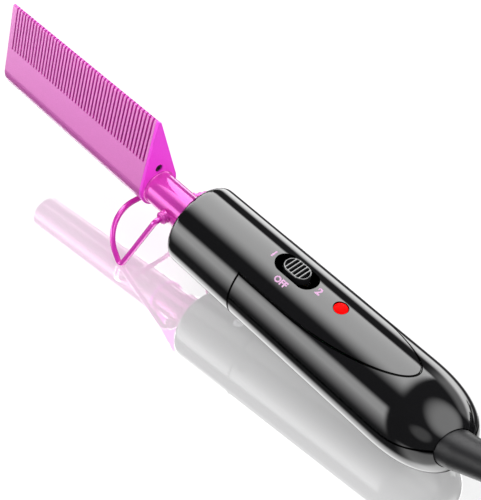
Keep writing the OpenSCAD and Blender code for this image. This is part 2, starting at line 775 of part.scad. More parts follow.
module mains_terminal() color("lightgray") in_tool() {
    difference() {
        block([-board_end, mains_y - 6, mains_z - 3],
              [-board_end + terminal_len, mains_y + 4.5, board_z - seat]);
        for (side = [-1, 1]) translate([0, mains_y + side * mains_lead_y, mains_z])
            rod(-board_end - 1, -board_end + 6, lead_r + seat, small_fn);
    }
}
module mains_leads() color("sienna") in_tool() {
    for (side = [-1, 1]) translate([0, mains_y + side * mains_lead_y, mains_z])
        rod(-mains_stop + 0.4, -board_end + 5, lead_r, small_fn);
}

// Cord inside the handle, its clamp and the strain relief ---------------------------------------

relief_inside = 9;
cord_r = cord_d / 2;
// The jacketed end of the cord, straight in from the relief
module cord_lane(extra) {
    in_outlet() translate([0, 0, -40]) cylinder(h = 40, r = cord_r + extra, $fn = round_fn);
}
outlet_drop = sin(outlet_pitch) / cos(outlet_pitch);
// Height of the cord's middle at a station
function lane_z(s) = outlet_z - (outlet_s - s) * outlet_drop;
saddle_z = lane_z(clamp_s) - 0.4;
clamp_screw_y = [outlet_y - 6.8, outlet_y + 4.6];
module cord_end() color("#141416") in_tool() {
    intersection() {
        cord_lane(0);
        in_outlet() translate([0, 0, -30]) cylinder(h = 30 - relief_inside - seat, r = 20, $fn = small_fn);
        block([-far, -far, -far], [-mains_stop, far, far]);
    }
}
clamp_half_w = 2.6;
clamp_h = 6.6;
module cord_clamp() color("#3a3a40") in_tool() {
    difference() {
        block([-clamp_s - clamp_half_w, outlet_y - 9, saddle_z + seat],
              [-clamp_s + clamp_half_w, outlet_y + 6.2, saddle_z + clamp_h]);
        cord_lane(seat);
        for (y = clamp_screw_y) post(-clamp_s, y, saddle_z - 1, saddle_z + 9, 1.1);
    }
}
module clamp_screws() color("silver") in_tool() {
    for (y = clamp_screw_y) union() {
        post(-clamp_s, y, saddle_z - 5, saddle_z + clamp_h + 0.2, 0.8);
        post(-clamp_s, y, saddle_z + clamp_h + seat, saddle_z + clamp_h + 1.2, 1.5);
    }
}

// A tube along points, with one radius for each, as one closed solid
function path_dir(p, i) = let (a = p[max(i - 1, 0)], b = p[min(i + 1, len(p) - 1)]) (b - a) / norm(b - a);
function side_of(d) = let (v = cross([0, 0, 1], d)) v / norm(v);
function tube_ring(c, d, r, sides) = let (u = side_of(d), v = cross(d, u))
    [for (k = [0 : sides - 1]) c + r * (cos(360 * k / sides) * u + sin(360 * k / sides) * v)];
module tube(points, radii, sides) {
    count = len(points);
    rings = [for (i = [0 : count - 1]) each tube_ring(points[i], path_dir(points, i), radii[i], sides)];
    walls = [for (i = [0 : count - 2], k = [0 : sides - 1]) let (n = (k + 1) % sides)
        [i * sides + k, (i + 1) * sides + k, (i + 1) * sides + n, i * sides + n]];
    caps = [[for (k = [0 : sides - 1]) k], [for (k = [sides - 1 : -1 : 0]) (count - 1) * sides + k]];
    polyhedron(points = rings, faces = concat(caps, walls), convexity = 4);
}
function same(n, r) = [for (i = [1 : n]) r];

// The strain relief is straight where it leaves the handle, then droops along an arc. It gets thinner
// all the way.
relief_sides = 28;
relief_straight = 14;
relief_bend_r = 26;
relief_fall = 40;
relief_out = to_world([-outlet_s, outlet_y, outlet_z]);
relief_rise = outlet_pitch - tilt;
relief_dir = [-cos(relief_rise), 0, sin(relief_rise)];
relief_steps = 9;
function relief_arc(i) = let (a = relief_rise - (relief_rise + relief_fall) * i / relief_steps)
    relief_out + relief_straight * relief_dir
    + relief_bend_r * [sin(a) - sin(relief_rise), 0, cos(a) - cos(relief_rise)];
relief_len = relief_straight + relief_bend_r * (relief_rise + relief_fall) * PI / 180;
relief_taper = 0.8;
// Radius of the relief at a length outside the handle
function relief_r(d) =
    relief_d / 2 - (relief_d - relief_end_d) / 2 * pow(max(d, 0) / relief_len, relief_taper);
relief_lead = [-relief_inside, -relief_inside + 2, -relief_inside + 4, 0, 4.5, 9];
relief_points = concat(
    [for (d = relief_lead) relief_out + d * relief_dir],
    [for (i = [0 : relief_steps]) relief_arc(i)]
);
relief_radii = concat(
    [for (i = [0 : len(relief_lead) - 1]) relief_r(relief_lead[i]) - (i == 0 ? 1.2 : i == 1 ? 0.2 : 0)],
    [for (i = [0 : relief_steps])
        relief_r(relief_straight + (relief_len - relief_straight) * i / relief_steps)]
);
module strain_relief() color("#141416") tube(relief_points, relief_radii, relief_sides);

// Cord on the table ----------------------------------------------------------------------------

// Route from the strain relief down onto the coil
cord_route = [
    [-178.3, 5, 21.05], [-182, 5, 18.45], [-186.1, 5, 16.5], [-190.5, 5, 15.4], [-195, 4.55, 15],
    [-198.2, 3.55, 15], [-201.89, 1.79, 15]
];
relief_tip = relief_arc(relief_steps);
module cord() color("#141416")
    tube(concat([relief_tip], cord_route), same(len(cord_route) + 1, cord_r), 12);

// The coil: three turns side by side in each of three layers
coil_x = -188.5;
coil_y = -20.5;
coil_in_r = 23;
coil_out_r = coil_in_r + 3 * cord_d;
coil_h = 3 * cord_d;
coil_round = 2.6;
tie_angle = 135;
tie_w = 9;
tie_t = 0.9;
tie_slack = 0.8;
module cord_coil() color("#141416") translate([coil_x, coil_y, 0]) {
    difference() {
        rotate_extrude($fn = round_fn) polygon([
            [coil_in_r + coil_round, 0], [coil_out_r - coil_round, 0],
            [coil_out_r, coil_round], [coil_out_r, coil_h - coil_round],
            [coil_out_r - coil_round, coil_h], [coil_in_r + coil_round, coil_h],
            [coil_in_r, coil_h - coil_round], [coil_in_r, coil_round]
        ]);
        // Way for the strap under the turns
        rotate([0, 0, tie_angle]) block([0, -tie_w / 2 - 0.3, -1], [far, tie_w / 2 + 0.3, tie_t + seat]);
    }
}
// Strap around the turns
module cord_tie() color("#2a2a2e") translate([coil_x, coil_y, 0]) rotate([0, 0, tie_angle]) {
    difference() {
        block([coil_in_r - tie_t - tie_slack, -tie_w / 2, 0],
              [coil_out_r + tie_t + tie_slack, tie_w / 2, coil_h + tie_t + seat]);
        block([coil_in_r - tie_slack, -tie_w, tie_t], [coil_out_r + tie_slack, tie_w, coil_h + seat]);
    }
}

// The last stretch of cord rises from the coil's outer turn to the plug, which lies on top
plug_x = -205.5;
plug_y = -44.5;
lead_route = [
    [-221.4, -1.5, 15], [-225, -7.2, 16], [-227.9, -13.55, 18.2], [-229.5, -20.5, 20.9],
    [-228.7, -26.7, 23], [-226.3, -32.5, 24.3], [-222.5, -37.5, 24.85], [-217.5, -41.3, 25],
    [-211.7, -43.7, 24.95]
];
plug_mid = [plug_x, plug_y, coil_h + seat + plug_t / 2];
module plug_lead() color("#141416")
    tube(concat(lead_route, [plug_mid]), same(len(lead_route) + 1, cord_r), 12);

// Flat two-pin plug with its own tapered tail
plug_tail = 20;
plug_neck_w = 13;
module plug_body() color("#141416") translate(plug_mid) {
    union() {
        rotate([0, 90, 0]) cylinder(h = plug_tail + 1, r1 = cord_r + 0.9, r2 = cord_r + 2.6, $fn = round_fn);
        translate([plug_tail, 0, -plug_t / 2]) linear_extrude(plug_t) polygon([
            [0, -plug_neck_w / 2], [2, -plug_neck_w / 2 - 1], [plug_len * 0.62, -plug_w / 2 + 1.5],
            [plug_len * 0.72, -plug_w / 2], [plug_len - 1.5, -plug_w / 2], [plug_len, -plug_w / 2 + 1.5],
            [plug_len, plug_w / 2 - 1.5], [plug_len - 1.5, plug_w / 2], [plug_len * 0.72, plug_w / 2],
            [plug_len * 0.62, plug_w / 2 - 1.5], [2, plug_neck_w / 2 + 1], [0, plug_neck_w / 2]
        ]);
    }
}
module plug_pins() color("silver") {
    for (side = [-1, 1])
        translate(plug_mid + [plug_tail + plug_len, side * pin_gap / 2, 0]) rotate([0, 90, 0])
            cylinder(h = pin_len, r = pin_d / 2, $fn = round_fn);
}

comb_head();
neck_tube();
flange_screw();
heater_element();
heater_shoe_upper();
heater_shoe_lower();
thermal_fuse();
heater_leads();
stand_bracket();
bracket_rivet();
stand_wire();
top_shell();
rear_shell();
bottom_shell();
front_bush();
rear_bush();
neck_screw();
housing_screws();
circuit_board();
board_screws();
switch_body();
switch_slider();
switch_knob();
lamp();
lamp_lens();
power_diode();
lamp_resistors();
capacitor();
heater_terminal();
mains_terminal();
mains_leads();
cord_end();
cord_clamp();
clamp_screws();
strain_relief();
cord();
cord_coil();
cord_tie();
plug_lead();
plug_body();
plug_pins();
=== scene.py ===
"""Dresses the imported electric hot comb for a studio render. Shapes of the tool are worked out in
millimetres in the tool's own frame, as its source does: X along the handle from its front rim towards the
comb, Y to the side, Z up through the teeth. What lies on the table is in the row's frame, in metres."""
import json
import math

import bmesh
import bpy
import numpy as np
from mathutils import Matrix, Vector
from mathutils.geometry import delaunay_2d_cdt


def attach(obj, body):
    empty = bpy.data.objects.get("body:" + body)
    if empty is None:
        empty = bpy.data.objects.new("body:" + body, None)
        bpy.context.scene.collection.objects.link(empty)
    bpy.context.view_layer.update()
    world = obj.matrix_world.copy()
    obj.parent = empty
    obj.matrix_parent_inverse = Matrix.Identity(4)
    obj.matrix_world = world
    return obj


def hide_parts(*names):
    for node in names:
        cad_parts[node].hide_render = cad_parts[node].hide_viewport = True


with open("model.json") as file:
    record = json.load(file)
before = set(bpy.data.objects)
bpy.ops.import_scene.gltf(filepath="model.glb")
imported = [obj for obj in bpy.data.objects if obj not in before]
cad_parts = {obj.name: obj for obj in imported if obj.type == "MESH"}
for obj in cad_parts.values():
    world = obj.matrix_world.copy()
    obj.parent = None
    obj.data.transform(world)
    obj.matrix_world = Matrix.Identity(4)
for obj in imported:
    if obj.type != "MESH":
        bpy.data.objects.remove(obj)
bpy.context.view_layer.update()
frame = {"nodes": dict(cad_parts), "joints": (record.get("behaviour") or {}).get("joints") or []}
MM = 0.001

# Sizes of the tool, in millimetres ---------------------------------------------------------------

HANDLE_R = 19.0
HANDLE_STRAIGHT = 112.0
TAIL_LEN = 31.5
TAIL_POWER = 2.4
RIM_ROUND = 2.9
SHELL_WALL = 2.2
SEAM = 0.38
COLLAR_LEN = 38.5
LEAF_HALF_W = 14.0
LEAF_STRAIGHT = 22.5
LEAF_CURVE = 54.4
SPLIT_LINE = [(0, 2.2), (-120, 2.2), (-124, 2.75), (-129, 4.6), (-134, 6.55), (-139, 8.1), (-150, 8.9)]
NECK_R = 7.73
NECK_LEN = 27.6
FLANGE_T = 1.5
NECK_FILLET = 0.8
BORE_R = 6.5
BACK_R, BACK_Z = 9.78, 1.1
TIP_R, TIP_Z = 0.96, 35.93
FLANK_LEAN = math.asin((BACK_R - TIP_R) / (TIP_Z - TIP_R - BACK_Z))
SLIT_Z = 15.6
SCREW_Z = 11.0
SCREW_HOLE_R = 1.95
SCREW_HEAD_R = 1.8
WIRE_R = 1.3
BAND_START, BAND_END = 1.6, 14.4
BAND_IN_R, BAND_OUT_R = 7.83, 9.03
PIVOT_S = 12.0
FOOT_S = 26.7
FOOT_HALF_W = 22.4
PIVOT_HALF_W = 14.4
ARCH_ANGLE = math.radians(61)
ARCH_LEN = 24.8
ARCH_CORNER_R = 17.0
SWITCH_S = 55.3
RECESS_HALF_LEN, RECESS_HALF_W = 10.0, 4.8
RECESS_FLOOR_Z = 16.7
KNOB_HALF_LEN, KNOB_HALF_W = 5.93, 3.85
KNOB_BASE_Z, KNOB_TOP_Z = 16.95, 20.38
KNOB_RIM_ROUND = 0.35
RIDGE_COUNT, RIDGE_REACH, RIDGE_HALF_W = 5, 3.6, 0.52
LAMP_S = 78.2
LENS_R = 2.75
LENS_GLOW_FROM, LENS_GLOW_TO = 17.6, 18.4
HOLE_CLEAR = 0.1
SLOT_HALF_W = 1.5
NECK_SCREW_S = 27.0
SCREW_SPOTS = [(43.5, 12.4), (110, 11.6)]
SCREW_WELL_R = 2.7
OUTLET = Vector((-141.5, 5.0, 7.0))
OUTLET_PITCH = math.radians(25.5)
RELIEF_R, RELIEF_END_R = 7.4, 4.2
RELIEF_STRAIGHT, RELIEF_BEND_R, RELIEF_FALL = 14.0, 26.0, math.radians(40)
CORD_R = 3.0

# The tool's frame in the row, from the stand's pivot and the direction in which the switch slides
JOINTS = {joint["name"]: joint for joint in frame["joints"]}
ALONG = Vector(JOINTS["switch_slide"]["axis"]).normalized()
SIDE = Vector((0, 1, 0))
UP = ALONG.cross(SIDE)
TILT = math.asin(ALONG.z)
RIM = Vector(JOINTS["stand_fold"]["pos_m"]) - ALONG * PIVOT_S * MM
TOOL = Matrix.Translation(RIM) @ Matrix((ALONG, SIDE, UP)).transposed().to_4x4() @ Matrix.Scale(MM, 4)

# Camera ------------------------------------------------------------------------------------------

CAMERA_PLACE = Vector((-0.21449, 0.17981, 0.27671))
CAMERA_YAW, CAMERA_PITCH, CAMERA_ROLL = (math.radians(a) for a in (-42.95, -42.65, 0.616))
CAMERA_LENS = 66.2


def make_camera():
    """The camera, turned from looking along +X to its yaw, its pitch and its small roll."""
    data = bpy.data.cameras.new("camera")
    data.sensor_fit = "HORIZONTAL"
    data.sensor_width = 36
    data.lens = CAMERA_LENS
    data.clip_start = 0.01
    camera = bpy.data.objects.new("camera", data)
    bpy.context.collection.objects.link(camera)
    level = Matrix.Rotation(math.radians(-90), 3, "Z") @ Matrix.Rotation(math.radians(90), 3, "X")
    turn = Matrix.Rotation(CAMERA_YAW, 3, "Z") @ Matrix.Rotation(-CAMERA_PITCH, 3, "Y")
    camera.matrix_world = Matrix.Translation(CAMERA_PLACE) @ (turn @ level).to_4x4() \
        @ Matrix.Rotation(CAMERA_ROLL, 4, "Z")
    bpy.context.scene.camera = camera


make_camera()

# Meshes ------------------------------------------------------------------------------------------


def mesh_piece(name, points, faces, finish, body="tool", in_tool=True, normals=None):
    """A piece that rides on a body. Points are in the tool's frame, or in metres in the row's frame."""
    if in_tool:
        points = [TOOL @ Vector(p) for p in points]
    mesh = bpy.data.meshes.new(name)
    mesh.from_pydata([tuple(p) for p in points], [], [tuple(f) for f in faces])
    mesh.polygons.foreach_set("use_smooth", [True] * len(mesh.polygons))
    mesh.update()
    if normals is not None:
        turn = TOOL.to_3x3().normalized()
        mesh.normals_split_custom_set_from_vertices([tuple(turn @ Vector(n)) for n in normals])
    piece = bpy.data.objects.new(name, mesh)
    bpy.context.collection.objects.link(piece)
    mesh.materials.append(finish)
    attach(piece, body)
    return piece


def loft(rings, closed=False):
    """Points and faces of a skin over rings of equal count, capped unless it closes on itself."""
    count = len(rings[0])
    points = [p for ring in rings for p in ring]
    faces = []
    last = len(rings) if closed else len(rings) - 1
    for i in range(last):
        j = (i + 1) % len(rings)
        for k in range(count):
            n = (k + 1) % count
            faces.append((i * count + k, i * count + n, j * count + n, j * count + k))
    if not closed:
        faces.append(tuple(range(count))[::-1])
        faces.append(tuple((len(rings) - 1) * count + k for k in range(count)))
    return points, faces


def keep_edges(piece, angle=35):
    """Edges sharper than the angle stay crisp in an otherwise smooth piece."""
    piece.data.set_sharp_from_angle(angle=math.radians(angle))
    return piece


def soften(piece, width_mm, segments=2, angle=35):
    """Rounds the edges of a piece a little, and keeps its flat faces flat."""
    bevel = piece.modifiers.new("rounded_edges", "BEVEL")
    bevel.width = width_mm * MM
    bevel.segments = segments
    bevel.limit_method = "ANGLE"
    bevel.angle_limit = math.radians(angle)
    bevel.harden_normals = True
    bevel.use_clamp_overlap = True
    return piece


def circle(radius, count, turn=0.0):
    return [(radius * math.cos(turn + math.tau * k / count), radius * math.sin(turn + math.tau * k / count))
            for k in range(count)]


def lathe(profile, count=96, middle=(0, 0, 0)):
    """Rings around the tool's X axis, through middle, for a profile of (station, radius)."""
    return [[(middle[0] + s, middle[1] + a, middle[2] + b) for a, b in circle(r, count)] for s, r in profile]


def arc(middle, radius, start, end, steps):
    """Points of an arc in a plane, by its angles in degrees."""
    return [(middle[0] + radius * math.cos(math.radians(start + (end - start) * i / steps)),
             middle[1] + radius * math.sin(math.radians(start + (end - start) * i / steps)))
            for i in range(steps + 1)]


def directions(path):
    """The way that a path takes at each of its points."""
    before = path[:1] + path[:-1]
    after = path[1:] + path[-1:]
    return [(b - a).normalized() for a, b in zip(before, after)]


def sweep(path, radii, sides=24):
    """Rings of a tube along a path, carried from one to the next without twist."""
    path = [Vector(p) for p in path]
    ways = directions(path)
    across = ways[0].orthogonal().normalized()
    rings = []
    for p, way, radius in zip(path, ways, radii):
        across = (across - way * across.dot(way)).normalized()
        other = way.cross(across)
        rings.append([p + across * a + other * b for a, b in circle(radius, sides)])
    return rings


def smooth_path(points, parts):
    """A curve through points, with a number of parts between each two (Catmull and Rom)."""
    points = [Vector(p) for p in points]
    ends = [points[0] * 2 - points[1]] + points + [points[-1] * 2 - points[-2]]
    path = []
    for a, b, c, d in zip(ends, ends[1:], ends[2:], ends[3:]):
        for k in range(parts):
            t = k / parts
            path.append(0.5 * (2 * b + (c - a) * t + (2 * a - 5 * b + 4 * c - d) * t * t
                               + (3 * b - a - 3 * c + d) * t ** 3))
    return path + [points[-1]]


def bend(before, corner, after, radius, steps):
    """Points of a round bend at a corner between two straight stretches."""
    a = (before - corner).normalized()
    b = (after - corner).normalized()
    half = a.angle(b) / 2
    middle = corner + (a + b).normalized() * radius / math.sin(half)
    u = (corner + a * radius / math.tan(half) - middle) / radius
    turn = math.pi - 2 * half
    return [middle + radius * (math.cos(turn * i / steps) * u - math.sin(turn * i / steps) * a)
            for i in range(steps + 1)]


# Finishes ----------------------------------------------------------------------------------------


class Value:
    """A socket of a material. An expression on it adds the Math nodes that work it out."""

    def __init__(self, tree, socket):
        self.tree = tree
        self.socket = socket

    def node(self, kind, settings=(), sockets=(), out=0):
        made = self.tree.nodes.new(kind)
        for name, value in dict(settings).items():
            setattr(made, name, value)
        for name, value in dict(sockets).items():
            plug_in(self.tree, made.inputs[name], value)
        return Value(self.tree, made.outputs[out])

    def math(self, operation, *others):
        return self.node("ShaderNodeMath", {"operation": operation}, dict(enumerate((self,) + others)))

    def __add__(self, other):
        return self.math("ADD", other)

    def __mul__(self, other):
        return self.math("MULTIPLY", other)

    def __sub__(self, other):
        return self.math("SUBTRACT", other)

    def __rsub__(self, other):
        return self.node("ShaderNodeMath", {"operation": "SUBTRACT"}, {0: other, 1: self})

    def __pow__(self, other):
        return self.math("POWER", other)

    __radd__ = __add__
    __rmul__ = __mul__

    def between(self, low, high):
        """0 below low, 1 above high, and a smooth change from one to the other."""
        return self.node("ShaderNodeMapRange", {"interpolation_type": "SMOOTHSTEP"},
                         {"Value": self, "From Min": low, "From Max": high})

    def rise_and_fall(self, start, full, drop, end):
        """1 from full to drop, fading to 0 at start and at end."""
        return self.between(start, full) * (1 - self.between(drop, end))

    def noise(self, scale, detail=3.0, roughness=0.5, stretch=None):
        at = self if stretch is None else self.node("ShaderNodeMapping", {}, {"Vector": self, "Scale": stretch})
        return self.node("ShaderNodeTexNoise", {}, {"Vector": at, "Scale": scale, "Detail": detail,
                                                    "Roughness": roughness})

    def mix(self, first, second):
        """The first colour where this is 0, and the second where it is 1."""
        return self.node("ShaderNodeMix", {"data_type": "RGBA"}, {0: self, 6: first, 7: second}, out=2)

    def bump(self, distance_mm):
        return self.node("ShaderNodeBump", {}, {"Height": self, "Distance": distance_mm * MM, "Strength": 1.0})

    def part(self, axis):
        return self.node("ShaderNodeSeparateXYZ", {}, {0: self}, out="XYZ".index(axis))


def plug_in(tree, socket, value):
    if isinstance(value, Value):
        tree.links.new(value.socket, socket)
    elif hasattr(socket.default_value, "__len__") and len(value) == 3 and len(socket.default_value) == 4:
        socket.default_value = (*value, 1)
    else:
        socket.default_value = value


def finish_of(name, varying=None, **steady):
    """A material: varying is worked out from the place on the piece, in metres, and steady stays the same."""
    made = bpy.data.materials.new(name)
    made.use_nodes = True
    tree = made.node_tree
    shader = tree.nodes["Principled BSDF"]
    sockets = {name.replace("_", " "): value for name, value in steady.items()}
    if varying:
        coordinates = tree.nodes.new("ShaderNodeTexCoord")
        sockets.update(varying(Value(tree, coordinates.outputs["Object"])))
    for name, value in sockets.items():
        plug_in(tree, shader.inputs[name], value)
    return made


def moulded(colour, gloss, ripple_mm=0.004, speck=0.15):
    """Moulded plastic: faint flow marks in its colour, an uneven gloss and a faint ripple."""
    def varying(at):
        cloud = at.noise(60, 4)
        fine = at.noise(900, 2)
        pale = tuple(c * (1 + speck) + 0.001 for c in colour)
        return {"Base Color": cloud.mix(colour, pale),
                "Roughness": gloss + fine * (gloss * 0.5) - gloss * 0.25,
                "Normal": at.noise(140, 1).bump(ripple_mm)}
    return varying


def lacquered(colour, shade, gloss, grain=(1, 1, 1), grain_mm=0.003):
    """Tinted lacquer on metal, with fine flakes and the faint grain of the metal under it."""
    def varying(at):
        flakes = at.noise(2600, 2)
        streaks = at.noise(700, 3, 0.6, grain)
        return {"Base Color": (flakes * 0.6 + streaks * 0.4).between(0.3, 0.75).mix(shade, colour),
                "Roughness": gloss + streaks * (gloss * 0.4) - gloss * 0.2,
                "Normal": streaks.bump(grain_mm)}
    return varying


shell_black = finish_of("shell_black", moulded((0.006, 0.006, 0.0068), 0.05, 0.0015), IOR=1.5)
cord_rubber = finish_of("cord_rubber", moulded((0.014, 0.014, 0.015), 0.42, 0.006), IOR=1.45)
sleeve_rubber = finish_of("sleeve_rubber", moulded((0.007, 0.007, 0.008), 0.42, 0.006), IOR=1.3)
plug_plastic = finish_of("plug_plastic", moulded((0.02, 0.02, 0.022), 0.35, 0.008), IOR=1.45)
switch_plastic = finish_of("switch_plastic", moulded((0.1, 0.1, 0.11), 0.5))
clamp_plastic = finish_of("clamp_plastic", moulded((0.07, 0.07, 0.08), 0.5))
bush_resin = finish_of("bush_resin", moulded((0.3, 0.15, 0.07), 0.5))
component_finish = finish_of("component", moulded((0.5, 0.33, 0.1), 0.3))
lead_sleeve = finish_of("lead_sleeve", moulded((0.7, 0.68, 0.64), 0.6))
heater_ceramic = finish_of("heater_ceramic", moulded((0.8, 0.78, 0.72), 0.65))
board_laminate = finish_of("board_laminate", moulded((0.04, 0.24, 0.1), 0.35))


def tool_parts(at):
    """Station, side and height of a place in the tool's frame, in metres."""
    x, z = at.part("X") - RIM.x, at.part("Z") - RIM.z
    return x * ALONG.x + z * ALONG.z, at.part("Y"), z * ALONG.x - x * ALONG.z


# The third colour is painted shade for the deep inside of the slits between the teeth
COMB_TINT, COMB_SHADE, SLIT_SHADE_TINT = (0.755, 0.15, 0.58), (0.69, 0.12, 0.51), (0.7, 0.01, 0.52)


def comb_lacquer(at):
    """Pale satin lacquer on the comb's outside, with painted shade inside the slits: a deeper, darker tint there,
    rougher and without coat.
    """
    sockets = lacquered(COMB_TINT, COMB_SHADE, 0.34, (1, 1, 6))(at)
    _, side, height = tool_parts(at)
    sine, cosine = math.sin(FLANK_LEAN), math.cos(FLANK_LEAN)
    depth = (BACK_R + BACK_Z * sine) * MM - height * sine - side.math("ABSOLUTE") * cosine
    # Painted shade: deep between the teeth the colour turns to the darker slit tint
    slit_shade = depth.between(0.15 * MM, 0.7 * MM) * height.between((SLIT_Z - 1) * MM, (SLIT_Z + 0.4) * MM)
    sockets["Base Color"] = slit_shade.mix(sockets["Base Color"], SLIT_SHADE_TINT)
    sockets["Roughness"] = sockets["Roughness"] + slit_shade * 0.5
    sockets["Coat Weight"] = 0.45 - slit_shade * 0.45
    return sockets


def knob_gloss(at):
    """Matt black, worn shiny on the rim and on the ridges."""
    sockets = moulded((0.008, 0.008, 0.009), 0.4)(at)
    _, _, height = tool_parts(at)
    sockets["Coat Weight"] = height.between((KNOB_TOP_Z - 0.6) * MM, (KNOB_TOP_Z - 0.25) * MM)
    return sockets


knob_black = finish_of("knob_black", knob_gloss, Specular_IOR_Level=0.0, Coat_Roughness=0.15, Coat_IOR=1.75)
comb_alloy = finish_of("comb_alloy", comb_lacquer, Metallic=0.1, Coat_Roughness=0.1)
neck_metal = finish_of("neck_metal", lacquered((0.82, 0.075, 0.60), (0.74, 0.06, 0.52), 0.14, (1, 6, 6), 0.001),
                       Metallic=0.1, IOR=1.36, Coat_Weight=0.12, Coat_Roughness=0.05)
flange_metal = finish_of("flange_metal", lacquered((1.0, 0.065, 0.86), (0.94, 0.055, 0.79), 0.4, (6, 6, 6)),
                         Metallic=0.1, IOR=1.3)
stand_metal = finish_of("stand_metal", lacquered((0.88, 0.035, 0.64), (0.78, 0.03, 0.54), 0.2, (4, 4, 4), 0.001),
                        Metallic=0.1, Coat_Weight=0.5, Coat_Roughness=0.08)
screw_dark = finish_of("screw_dark", lacquered((0.05, 0.02, 0.04), (0.03, 0.01, 0.025), 0.5), Metallic=0.6)
screw_steel = finish_of("screw_steel", lacquered((0.5, 0.5, 0.52), (0.42, 0.42, 0.44), 0.3), Metallic=1.0)
shoe_alloy = finish_of("shoe_alloy", lacquered((0.75, 0.75, 0.77), (0.66, 0.66, 0.68), 0.35), Metallic=1.0)
contact_brass = finish_of("contact_brass", lacquered((0.72, 0.53, 0.22), (0.6, 0.42, 0.16), 0.3), Metallic=1.0)
pin_metal = finish_of("pin_metal", lacquered((0.72, 0.70, 0.66), (0.62, 0.6, 0.56), 0.22), Metallic=1.0)


def lamp_glow(at):
    """Red plastic that glows where it stands out of the shell."""
    sockets = moulded((0.5, 0.0, 0.0), 0.5, speck=0.05)(at)
    _, _, height = tool_parts(at)
    sockets["Emission Color"] = height.between(LENS_GLOW_FROM * MM, LENS_GLOW_TO * MM).mix((0, 0, 0), (1, 0, 0))
    return sockets


lamp_red = finish_of("lamp_red", lamp_glow, IOR=1.08, Emission_Strength=1.1)
label_ink = finish_of("label_ink", moulded((0.86, 0.5, 0.80), 0.6), IOR=1.2)
tie_fabric = finish_of("tie_fabric", moulded((0.04, 0.04, 0.045), 0.8, 0.1))

# Mains cord --------------------------------------------------------------------------------------

CORD_ROUTE = [(-178.3, 5, 21.05), (-182, 5, 18.45), (-186.1, 5, 16.5), (-190.5, 5, 15.4), (-195, 4.55, 15),
              (-198.2, 3.55, 15)]
LEAD_ROUTE = [(-225, -7.2, 16), (-227.9, -13.55, 18.2), (-229.5, -20.5, 20.9), (-228.7, -26.7, 23),
              (-226.3, -32.5, 24.3), (-222.5, -37.5, 24.85), (-217.5, -41.3, 25), (-211.7, -43.7, 24.95)]
PLUG = Vector((-205.5, -44.5, 24.9))
PLUG_LEN = 53
PIN_HALF_GAP = 9.3
COIL_MIDDLE = Vector((-188.5, -20.5, 0))
COIL_H = 18.0
COIL_IN_R, COIL_OUT_R = 23.0, 41.0
# Radius and height of the cord in each turn, with the degrees in which it moves there from the turn before
COIL_TURNS = [(26, 15, None), (26, 9, (15, 55)), (26, 3, (15, 55)), (32, 3, (-26, 14)), (38, 3, (-26, 14)),
              (38, 9, (-67, -27)), (32, 9, (-108, -68)), (32, 15, (-149, -109)), (38, 15, (-190, -150))]
COIL_START, COIL_END = 121, 150 + 8 * 360
COIL_STEP = 4
TIE_ANGLE = 135
TIE_T, TIE_W = 0.9, 9.0
TIE_RAMP = 26


def ease(t):
    t = min(max(t, 0.0), 1.0)
    return t * t * (3 - 2 * t)


def tie_lift(angle):
    """The strands rise over the strap where it passes under them."""
    away = abs((angle - TIE_ANGLE + 180) % 360 - 180)
    return TIE_T * ease(1 - (away - 6) / TIE_RAMP)


def coil_point(angle):
    """The cord's middle in the coil, by the angle that it has turned to."""
    radius, height, _ = COIL_TURNS[0]
    for turn, (next_radius, next_height, window) in enumerate(COIL_TURNS[1:], 1):
        start, end = (a + 360 * turn for a in window)
        t = ease((angle - start) / (end - start))
        radius += (next_radius - radius) * t
        height += (next_height - height) * t
    a = math.radians(angle)
    return COIL_MIDDLE + Vector((radius * math.cos(a), radius * math.sin(a), height + tie_lift(angle)))


def relief_path():
    """Middle of the strain relief: straight out of the handle, then down along an arc."""
    out = (TOOL @ OUTLET) / MM
    rise = OUTLET_PITCH - TILT
    way = Vector((-math.cos(rise), 0, math.sin(rise)))
    path = [out + way * (RELIEF_STRAIGHT * k / 6) for k in range(6)]
    steps = 18
    for i in range(steps + 1):
        a = rise - (rise + RELIEF_FALL) * i / steps
        path.append(out + way * RELIEF_STRAIGHT + RELIEF_BEND_R
                    * Vector((math.sin(a) - math.sin(rise), 0, math.cos(a) - math.cos(rise))))
    return path


def length_of(path):
    return sum((b - a).length for a, b in zip(path, path[1:]))


def make_cord():
    turns = [coil_point(a) for a in range(COIL_START, COIL_END + 1, COIL_STEP)]
    if (COIL_END - COIL_START) % COIL_STEP:
        turns.append(coil_point(COIL_END))
    down = smooth_path([relief_path()[-1]] + [Vector(p) for p in CORD_ROUTE] + turns[:2], 3)[:-3]
    away = smooth_path(turns[-2:] + [Vector(p) for p in LEAD_ROUTE] + [PLUG + Vector((1, 0, 0))], 3)[3:]
    path = relief_path()[:-1] + down + turns[1:-1] + away
    points, faces = loft(sweep([p * MM for p in path], [CORD_R * MM] * len(path), 14))
    cord = mesh_piece("mains_cord", points, faces, cord_rubber, in_tool=False)
    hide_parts("cord", "cord_coil", "plug_lead")
    return cord, [p * MM for p in path]


def make_relief():
    """Tapered rubber sleeve, with a collar that seats in the handle's outlet."""
    path = relief_path()
    way = (path[0] - path[1]).normalized()
    lead = [path[0] + way * d for d in (9, 6.5, 5, 0.2)]
    lead_r = [RELIEF_R - 1.2, RELIEF_R - 0.2, RELIEF_R, RELIEF_R]
    ways = np.concatenate([[0], np.cumsum([(b - a).length for a, b in zip(path, path[1:])])])
    radii = [RELIEF_R - (RELIEF_R - RELIEF_END_R) * (way / ways[-1]) ** 0.8 for way in ways]
    end_way = (path[-1] - path[-2]).normalized()
    path = lead + path + [path[-1] + end_way * 0.5, path[-1] + end_way * 0.7]
    radii = lead_r + radii + [RELIEF_END_R - 0.15, RELIEF_END_R - 0.6]
    points, faces = loft(sweep([p * MM for p in path], [r * MM for r in radii], 48))
    relief = mesh_piece("strain_relief_sleeve", points, faces, sleeve_rubber, in_tool=False)
    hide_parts("strain_relief")
    return keep_edges(relief, 50)


